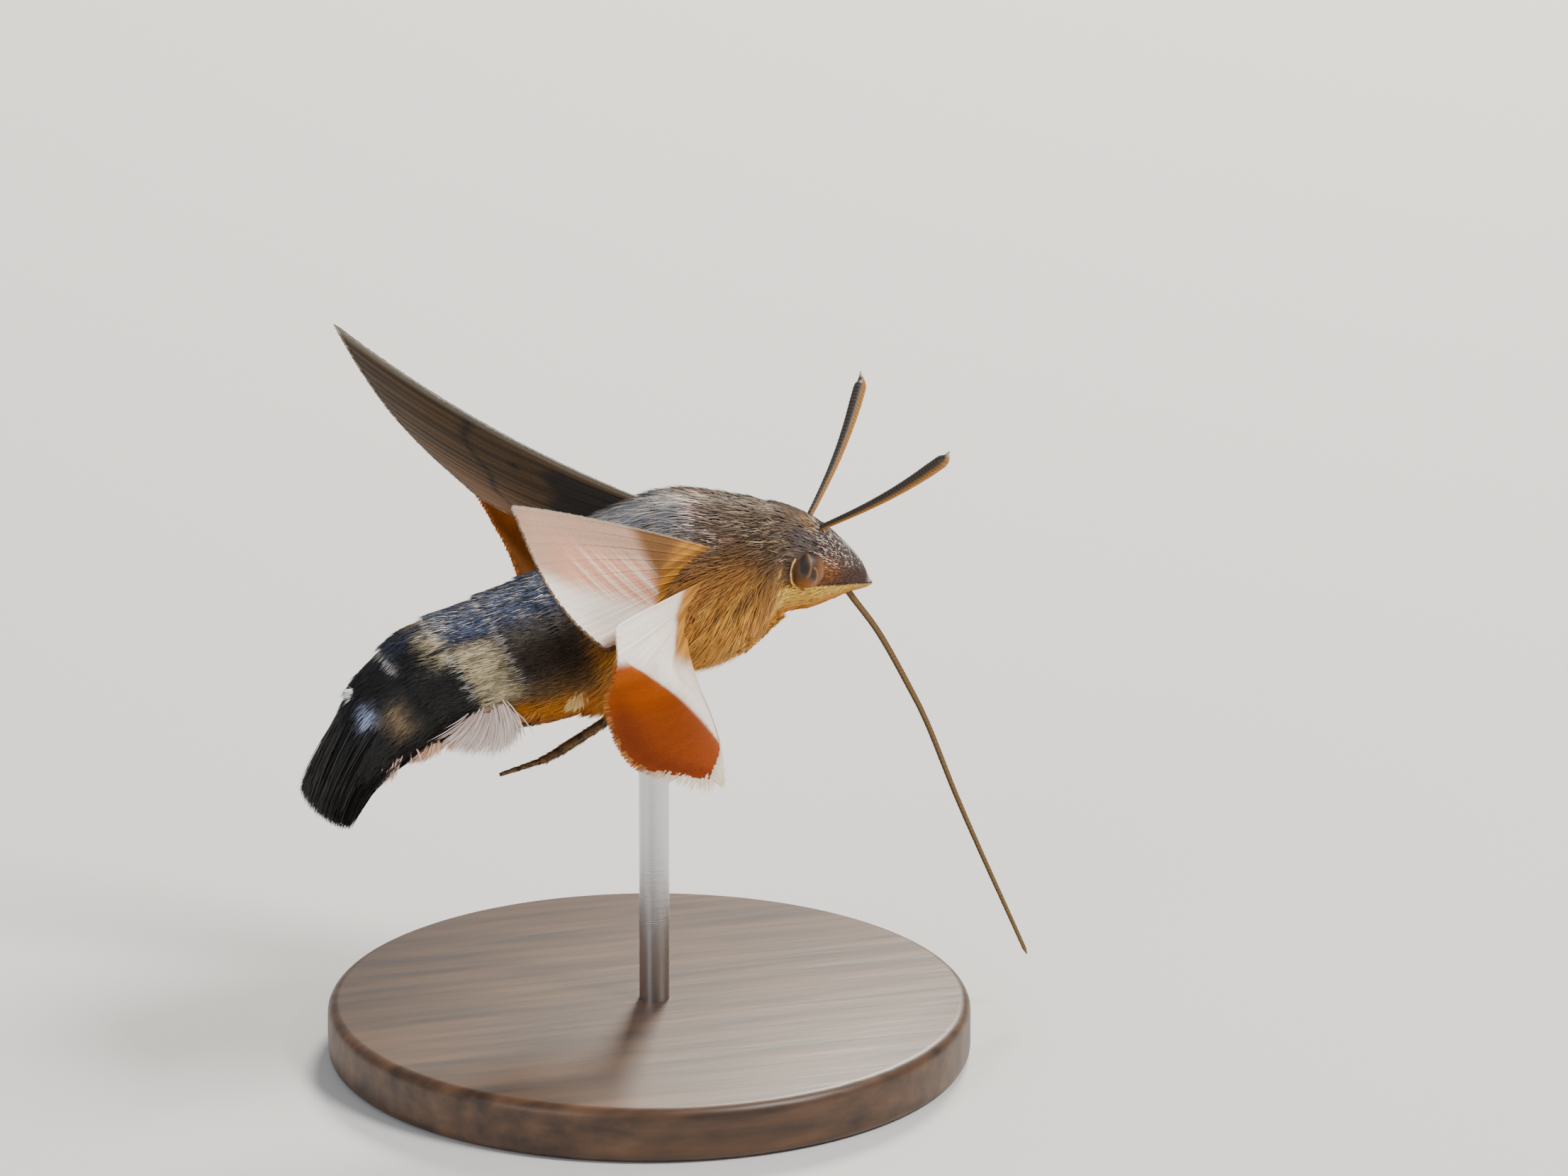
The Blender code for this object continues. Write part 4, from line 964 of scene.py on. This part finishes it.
def banked(points, side):
    """The wing's points on their own side, the left pair turned about its leading edge."""
    if side < 0:
        return points * (1, -1, 1)
    axis = SPAN_AXIS / np.linalg.norm(SPAN_AXIS)
    arm = points - WING_ROOT
    c, s = math.cos(LEFT_WINGS_TURN), math.sin(LEFT_WINGS_TURN)
    turned_arm = arm * c + np.cross(axis, arm) * s + axis * (arm @ axis)[..., None] * (1 - c)
    return WING_ROOT + turned_arm


def forewing_place(m, t, side):
    """Points on the middle of the forewing, on ray m from the leading edge, at t along it."""
    m, t = m[..., None], t[..., None]
    root, bend, end = (FOREWING_LEADING[side][k] * (1 - m) + FOREWING_INNER[k] * m for k in range(3))
    bulge = np.sin(math.pi * m)
    end = end + np.array((0.72, 0.96, 0.0)) * bulge
    bend = bend + np.array((0.0, 0.0, -1.1)) * bulge
    mix = (1 - t) ** 2 * root + 2 * t * (1 - t) * bend + t * t * end
    return WING_ROOT + mix[..., :1] * SPAN_AXIS + mix[..., 1:2] * CHORD_AXIS + mix[..., 2:] * UNDER_AXIS


def membrane(surface, m, t, side, height):
    """The wing's surface raised by a height out of its underside, and the direction outward."""
    def at(m, t):
        return banked(surface(m, t, side), side)

    along_ray = at(m, t + 0.004) - at(m, t - 0.004)
    along_edge = at(m + 0.004, t) - at(m - 0.004, t)
    out = unit(np.cross(along_ray, along_edge) * -side)
    return at(m, t) + out * height[..., None], out


def wing_piece(name, surface, side, veins, grid, reach, colours, slot, node):
    """A closed thin wing with its veins raised on both faces, tinted by face, ray and reach."""
    rows, columns = grid
    even = np.linspace(0, 1, columns)
    near_vein = [v + d for v in veins for d in (-0.009, -0.0045, 0.0, 0.0045, 0.009)]
    m_line = np.unique(np.clip(np.concatenate([even, near_vein]), 0, 1).round(5))
    t, m = np.meshgrid(np.linspace(0, 1, rows) * reach, m_line, indexing="ij")
    ridge = sum(hump(m, v, VEIN_WIDTH) for v in veins)
    pleat = PLEAT_DEPTH * np.sin(m * math.pi * PLEAT_WAVES) * rise(0.1, 0.5, t)
    edge = np.minimum(np.minimum(m, 1 - m) * 12, (reach - t) * 14 + 0.25)
    half = HALF_MEMBRANE * np.clip(edge, 0.25, 1) + HALF_VEIN * ridge * (1 - 0.8 * t)
    sheets = [membrane(surface, m, t, side, raised + pleat)[0] for raised in (half, -half)]
    points = np.concatenate([sheet.reshape(-1, 3) for sheet in sheets])
    arm = surface(m, t, side) - WING_ROOT
    tints = colours(m, t, ridge, arm @ SPAN_AXIS, arm @ CHORD_AXIS)
    tint = np.concatenate([face_tint.reshape(-1, 3) for face_tint in tints])
    r, c = t.shape
    lower = grid_faces(r, c, 0, closed=False)
    upper = grid_faces(r, c, r * c, closed=False)[:, ::-1]
    border = np.concatenate([
        np.arange(c), np.arange(1, r) * c + c - 1, (r - 1) * c + np.arange(c - 2, -1, -1),
        np.arange(r - 2, 0, -1) * c,
    ])
    onward = np.roll(border, -1)
    faces = [lower, upper, np.stack([border, border + r * c, onward + r * c, onward], -1)]
    if side > 0:
        faces = [f[:, ::-1] for f in faces]
    place_piece(mesh_piece(name, in_place(points), faces, tint), WING_FINISH, slot, node)


def root_fur(tint, span, chord):
    """The golden hair of the chest that runs out over the roots of the wings."""
    streak = mottle((0.54 * span - chord) * 7.0, span * 0.6)
    fur = toward(srgb(206, 144, 58), srgb(160, 108, 46), rise(0.4, 0.8, streak))
    near_root = fall(-0.6, 0.5, span - 2.3 - 0.17 * chord + 0.5 * (streak - 0.5))
    return toward(tint, fur, near_root * fall(5.2, 6.8, chord))


def forewing_colours(m, t, ridge, span, chord):
    """Underside and upper side, by ray and reach, and by the place along span and chord, both with
    painted light and shade.
    """
    lines = chord + 0.28 * span
    streak = 0.55 * mottle(lines * 13.0, span * 0.25) + 0.45 * mottle(lines * 41.0 + 3.0, span * 0.45)
    # The orange-brown front near the root is the wing's own colour deepened by painted shade.
    brown = toward(srgb(206, 138, 52), srgb(128, 88, 46), rise(0.6, 3.6, span))
    # The pink and white of the underside, whitest behind the front strip, is painted sunlit sheen.
    under = layered(
        srgb(228, 160, 130),
        (srgb(255, 234, 212), rise(0.45, 0.75, streak) * fall(10, 15, span)),
        (srgb(196, 156, 132), np.maximum(rise(12.5, 17.5, span), fall(0.3, 1.4, chord))),
        (srgb(254, 243, 231), rise(2.5, 3.7, chord)),
        (srgb(178, 140, 116), rise(17.5, 21.5, span) * 0.8),
        (brown, fall(2.6, 3.5, chord + 0.5 * span)),
    )
    under = toward(root_fur(under, span, chord), srgb(206, 176, 150), ridge * 0.12)
    wisp = mottle(m * 60.0, t * 9.0)
    base = fall(0.33, 0.39, t + 0.02 * np.sin(m * 22)) * rise(0.06, 0.14, m)
    # The upper side's grey-brown is laid darker than the wing's own, as painted shade.
    upper = layered(
        srgb(74, 54, 32),
        (srgb(58, 41, 23), rise(0.3, 0.7, wisp)),
        # Warm orange-brown over the rear half and along the rear edge is painted light shining through
        # the wing.
        (srgb(110, 70, 26), rise(0.35, 0.9, m) * rise(0.35, 0.6, t) * 0.8),
        (srgb(29, 25, 20), base * 0.95),
        (srgb(34, 26, 18), hump(t + 0.02 * np.sin(m * 15 + 1), 0.61, 0.016) * 0.85),
        (srgb(48, 36, 24), rise(0.84, 1.0, t + 0.03 * np.sin(m * 9)) * 0.5),
        (srgb(24, 19, 15), hump(t, 0.47, 0.016) * hump(m, 0.24, 0.03)),
        # The pale line along the front edge is a painted highlight.
        (srgb(150, 142, 126), fall(0.015, 0.07, m) * (0.35 + 0.4 * wisp)),
        (srgb(128, 78, 24), rise(0.84, 0.98, m) * 0.8),
        (srgb(40, 30, 20), ridge * 0.25),
    )
    return under, upper


WING_FINISH = tinted_finish("wing_scales", 0.55, 0.16, 11000.0, 0.000015, specular=0.2)
FRINGE_LAYERS = 3


def margin_fringe(name, surface, side, edges, colours, seed, slot):
    """Short scales that stand out round a wing's edges, lying in the wing's own surface."""
    draw = np.random.default_rng(seed)
    m, t, lean_m, lean_t, length = (
        np.tile(np.concatenate(part), FRINGE_LAYERS)
        for part in zip(*(np.broadcast_arrays(*edge) for edge in edges))
    )
    m = np.clip(m + draw.normal(0, 0.002, len(m)), 0.002, 0.998)
    start, out = membrane(surface, m, t, side, draw.uniform(-0.03, 0.03, len(m)))
    ahead = membrane(surface, m + lean_m * 0.01, t + lean_t * 0.01, side, 0 * m)[0]
    aim = unit(ahead - membrane(surface, m, t, side, 0 * m)[0])
    flat = np.cross(out, aim)
    aim = aim + flat * draw.normal(0, 0.10, (len(m), 1)) + out * draw.normal(0, 0.05, (len(m), 1))
    reach = length * draw.uniform(0.6, 1.1, len(m))
    paths = straight_hairs(start, aim, reach, -0.35)
    width = np.array((0.075, 0.085)) * draw.uniform(0.7, 1.2, len(m))[:, None]
    tint = colours(m, t, draw.uniform(0, 1, len(m)))
    # Each fringe scale is darker at its root and lighter at its tip: painted shade and painted light.
    tints = tint[:, None] * np.array((0.8, 1.0, 1.12))[None, :, None]
    patches = 0.02 + 0.96 * np.clip(np.stack([m, t], -1), 0, 1)
    tufts(name, HAIR_FINISH, slot, paths, flat, width, tints, patches, thick=0.2)


def forewing_fringe_tint(m, t, chance):
    fringe = toward(srgb(84, 64, 46), srgb(150, 124, 100), (chance > 0.5) * 0.8)
    return toward(fringe, srgb(178, 172, 158), (m < 0.05) * 0.8)


outer = np.linspace(0.01, 0.99, 240)
inner = np.linspace(0.25, 0.98, 200)
front = np.linspace(0.12, 0.97, 240)
# For the outer, inner and front edge: ray, reach, how the scales lean in each, and their length.
FOREWING_EDGES = (
    (outer, 0.982, 0.10, 1.0, 0.32 + 0.1 * outer),
    (0.995, inner, 1.0, 0.5, 0.28),
    (0.004, front, -0.60, 1.0, 0.24),
)
for side, word in SIDES:
    wing_piece("wing_fore_" + word, forewing_place, side, FOREWING_VEINS, FOREWING_GRID,
               FOREWING_REACH, forewing_colours, "forewing", "forewing_" + word)
    margin_fringe("fringe_fore_" + word, forewing_place, side, FOREWING_EDGES,
                  forewing_fringe_tint, 50 + side, "forewing")


# The hindwings. Smaller and softer, they are orange with a brown edge above, laid darker as painted
# shade, and whitish pink below, a painted sunlit sheen; beyond a fold the rear part curls in, and its
# underside there shows orange, deepened and brightened as painted light shining through.
HINDWING_RAYS = np.array((
    ((-0.35, 3.75, -1.25), (-4.55, 8.55, -0.72), (-7.70, 12.65, -0.15), (-8.45, 14.00, -0.12)),
    ((-1.05, 3.60, -2.25), (-5.10, 9.80, -1.89), (-8.16, 14.30, -1.44), (-8.65, 14.90, -1.30)),
    ((-1.35, 3.45, -3.10), (-4.16, 9.00, -2.75), (-6.27, 12.20, -3.19), (-7.70, 10.60, -4.05)),
    ((-1.50, 3.40, -3.75), (-3.35, 7.60, -4.42), (-4.02, 10.20, -5.23), (-7.40, 8.00, -6.46)),
    ((-1.40, 3.40, -4.20), (-2.63, 6.90, -5.23), (-2.26, 8.80, -7.18), (-5.86, 7.80, -9.78)),
    ((-1.40, 3.40, -4.70), (-1.85, 6.30, -5.50), (-0.83, 7.40, -9.13), (-1.19, 8.00, -11.08)),
))
HINDWING_VEINS = (0.012, 0.17, 0.34, 0.51, 0.68, 0.84)
HINDWING_GRID, HINDWING_REACH = (130, 90), 0.975


def spline_weights(count, x):
    """How much each of count rows counts at x, an array, on the smooth curve through them."""
    return along(np.eye(count), x)


def hindwing_place(m, t, side):
    """Points on the middle of the hindwing, alike on both sides, on ray m at t along it."""
    by_ray = spline_weights(len(HINDWING_RAYS), (len(HINDWING_RAYS) - 1) * m)
    by_reach = spline_weights(4, 3 * t)
    return np.einsum("...r,...k,rkc->...c", by_ray, by_reach, HINDWING_RAYS)


def hindwing_colours(m, t, ridge, span, chord):
    """Underside and upper side. Beyond the fold the rear part shows its orange face, deepened and
    brightened as painted light shining through; before it the underside is a painted sunlit sheen, and
    the upper side's orange carries painted shade.
    """
    wisp = mottle(m * 34.0, t * 7.0)
    lobe = rise(0.655, 0.685, t) * rise(0.20, 0.30, m)
    # The lobe's orange is the wing's own colour, deepened and brightened as painted light shining
    # through.
    orange = layered(
        srgb(192, 90, 2),
        (srgb(150, 64, 0), rise(0.35, 0.9, m + 0.2 * wisp)),
        (srgb(116, 42, 0), hump(t, 0.93, 0.06) * rise(0.4, 0.7, m) * 0.8),
    )
    # The whitish pink underside is painted sunlit sheen.
    under = layered(
        srgb(254, 243, 231),
        (srgb(246, 222, 202), rise(0.4, 0.8, wisp) * 0.5),
        (srgb(232, 200, 170), rise(0.90, 1.0, m) * 0.7),
    )
    under = layered(
        root_fur(under, span, chord), (orange, lobe), (srgb(120, 60, 20), ridge * 0.12 * lobe)
    )
    # The upper orange is laid darker than the wing's own, as painted shade.
    upper = layered(
        srgb(190, 104, 24),
        (srgb(160, 78, 14), rise(0.3, 0.7, wisp)),
        (srgb(84, 54, 28), fall(0.05, 0.25, t) * 0.9),
        (srgb(116, 66, 22), fall(0.15, 0.35, m) * 0.8),
        (srgb(92, 52, 20), rise(0.55, 0.66, t) * (1 - lobe) * 0.5),
        (srgb(118, 72, 24), lobe * 0.9),
        (srgb(100, 52, 16), ridge * 0.25 * (1 - lobe)),
    )
    return under, upper


def hindwing_fringe_tint(m, t, chance):
    orange = toward(srgb(150, 78, 22), srgb(196, 122, 48), (chance > 0.5) * 0.8)
    return toward(orange, srgb(240, 224, 200), np.maximum(rise(0.80, 0.94, m), fall(0.10, 0.22, m)))


outer = np.linspace(0.01, 0.99, 260)
inner = np.linspace(0.45, 0.97, 220)
HINDWING_EDGES = (
    (outer, 0.972, 0.05, 1.0, 0.30 + 0.55 * rise(0.75, 1, outer)),
    (0.992, inner, 0.6, 1.0, 0.3 + 0.5 * rise(0.6, 1.0, inner)),
)
for side, word in SIDES:
    wing_piece("wing_hind_" + word, hindwing_place, side, HINDWING_VEINS, HINDWING_GRID,
               HINDWING_REACH, hindwing_colours, "hindwing", "hindwing_" + word)
    margin_fringe("fringe_hind_" + word, hindwing_place, side, HINDWING_EDGES,
                  hindwing_fringe_tint, 60 + side, "hindwing")


# The floor and the light. A pale matt floor runs far behind the stand, under one broad soft light
# from the front right, a weak one from the left, and a warm one behind for the edges of the hair.
FLOOR_SIZE = 6.0
SKY_STRENGTH = 0.42
bpy.ops.object.select_all(action="DESELECT")
bpy.ops.mesh.primitive_plane_add(size=FLOOR_SIZE, location=(0.0, 0.0, 0.0))
floor = bpy.context.object
floor.name = "studio_floor"
pale, nodes, links, shader = plain_finish("pale_floor", (0.74, 0.74, 0.73), 0.9)
floor.data.materials.append(pale)

world = bpy.data.worlds.new("studio")
bpy.context.scene.world = world
world.use_nodes = True
sky = world.node_tree.nodes["Background"]
set_inputs(sky, {"Color": (0.92, 0.95, 1.0, 1.0), "Strength": SKY_STRENGTH})


def studio_light(name, place, target, size, watts, colour):
    lamp = bpy.data.lights.new(name, "AREA")
    lamp.shape = "DISK"
    lamp.size = size
    lamp.energy = watts
    lamp.color = colour
    holder = bpy.data.objects.new(name, lamp)
    bpy.context.scene.collection.objects.link(holder)
    holder.location = place
    aim = Vector(target) - Vector(place)
    holder.rotation_euler = aim.to_track_quat("-Z", "Y").to_euler()


MIDDLE = (0.0, 0.0, 0.022)
studio_light("key", (0.26, -0.26, 0.46), MIDDLE, 0.18, 3.4, (1.0, 0.96, 0.90))
studio_light("fill", (-0.42, -0.28, 0.22), MIDDLE, 0.30, 0.8, (0.93, 0.96, 1.0))
studio_light("rim", (0.22, 0.36, 0.34), MIDDLE, 0.14, 3.6, (1.0, 0.93, 0.80))


# The camera. It stands to the right of the moth and a little behind its face, above the body, at
# the photograph's angle, size and framing.
PHOTO_WIDTH, PHOTO_HEIGHT = 2212, 1659
PIXELS_PER_MM = 27.0
BACK_PIXEL = (978.0, 753.0)
DISTANCE = 600.0
DISTANCE = 600.0
AZIMUTH, ELEVATION = math.radians(-17.5), math.radians(18.0)
SENSOR_WIDTH = 36.0
level = math.cos(ELEVATION)
view = np.array((-math.sin(AZIMUTH) * level, math.cos(AZIMUTH) * level, -math.sin(ELEVATION)))
right = np.array((math.cos(AZIMUTH), math.sin(AZIMUTH), 0.0))
up = np.cross(right, view)
stand_at = BACK + right * (PHOTO_WIDTH / 2 - BACK_PIXEL[0]) / PIXELS_PER_MM
stand_at = stand_at + up * (BACK_PIXEL[1] - PHOTO_HEIGHT / 2) / PIXELS_PER_MM - view * DISTANCE
lens = bpy.data.cameras.new("camera")
lens.sensor_width = SENSOR_WIDTH
lens.lens = PIXELS_PER_MM * DISTANCE / PHOTO_WIDTH * SENSOR_WIDTH
lens.clip_start = 0.01
camera = bpy.data.objects.new("camera", lens)
bpy.context.scene.collection.objects.link(camera)
camera.location = stand_at * MM
camera.rotation_euler = Vector(view).to_track_quat("-Z", "Y").to_euler()
bpy.context.scene.camera = camera
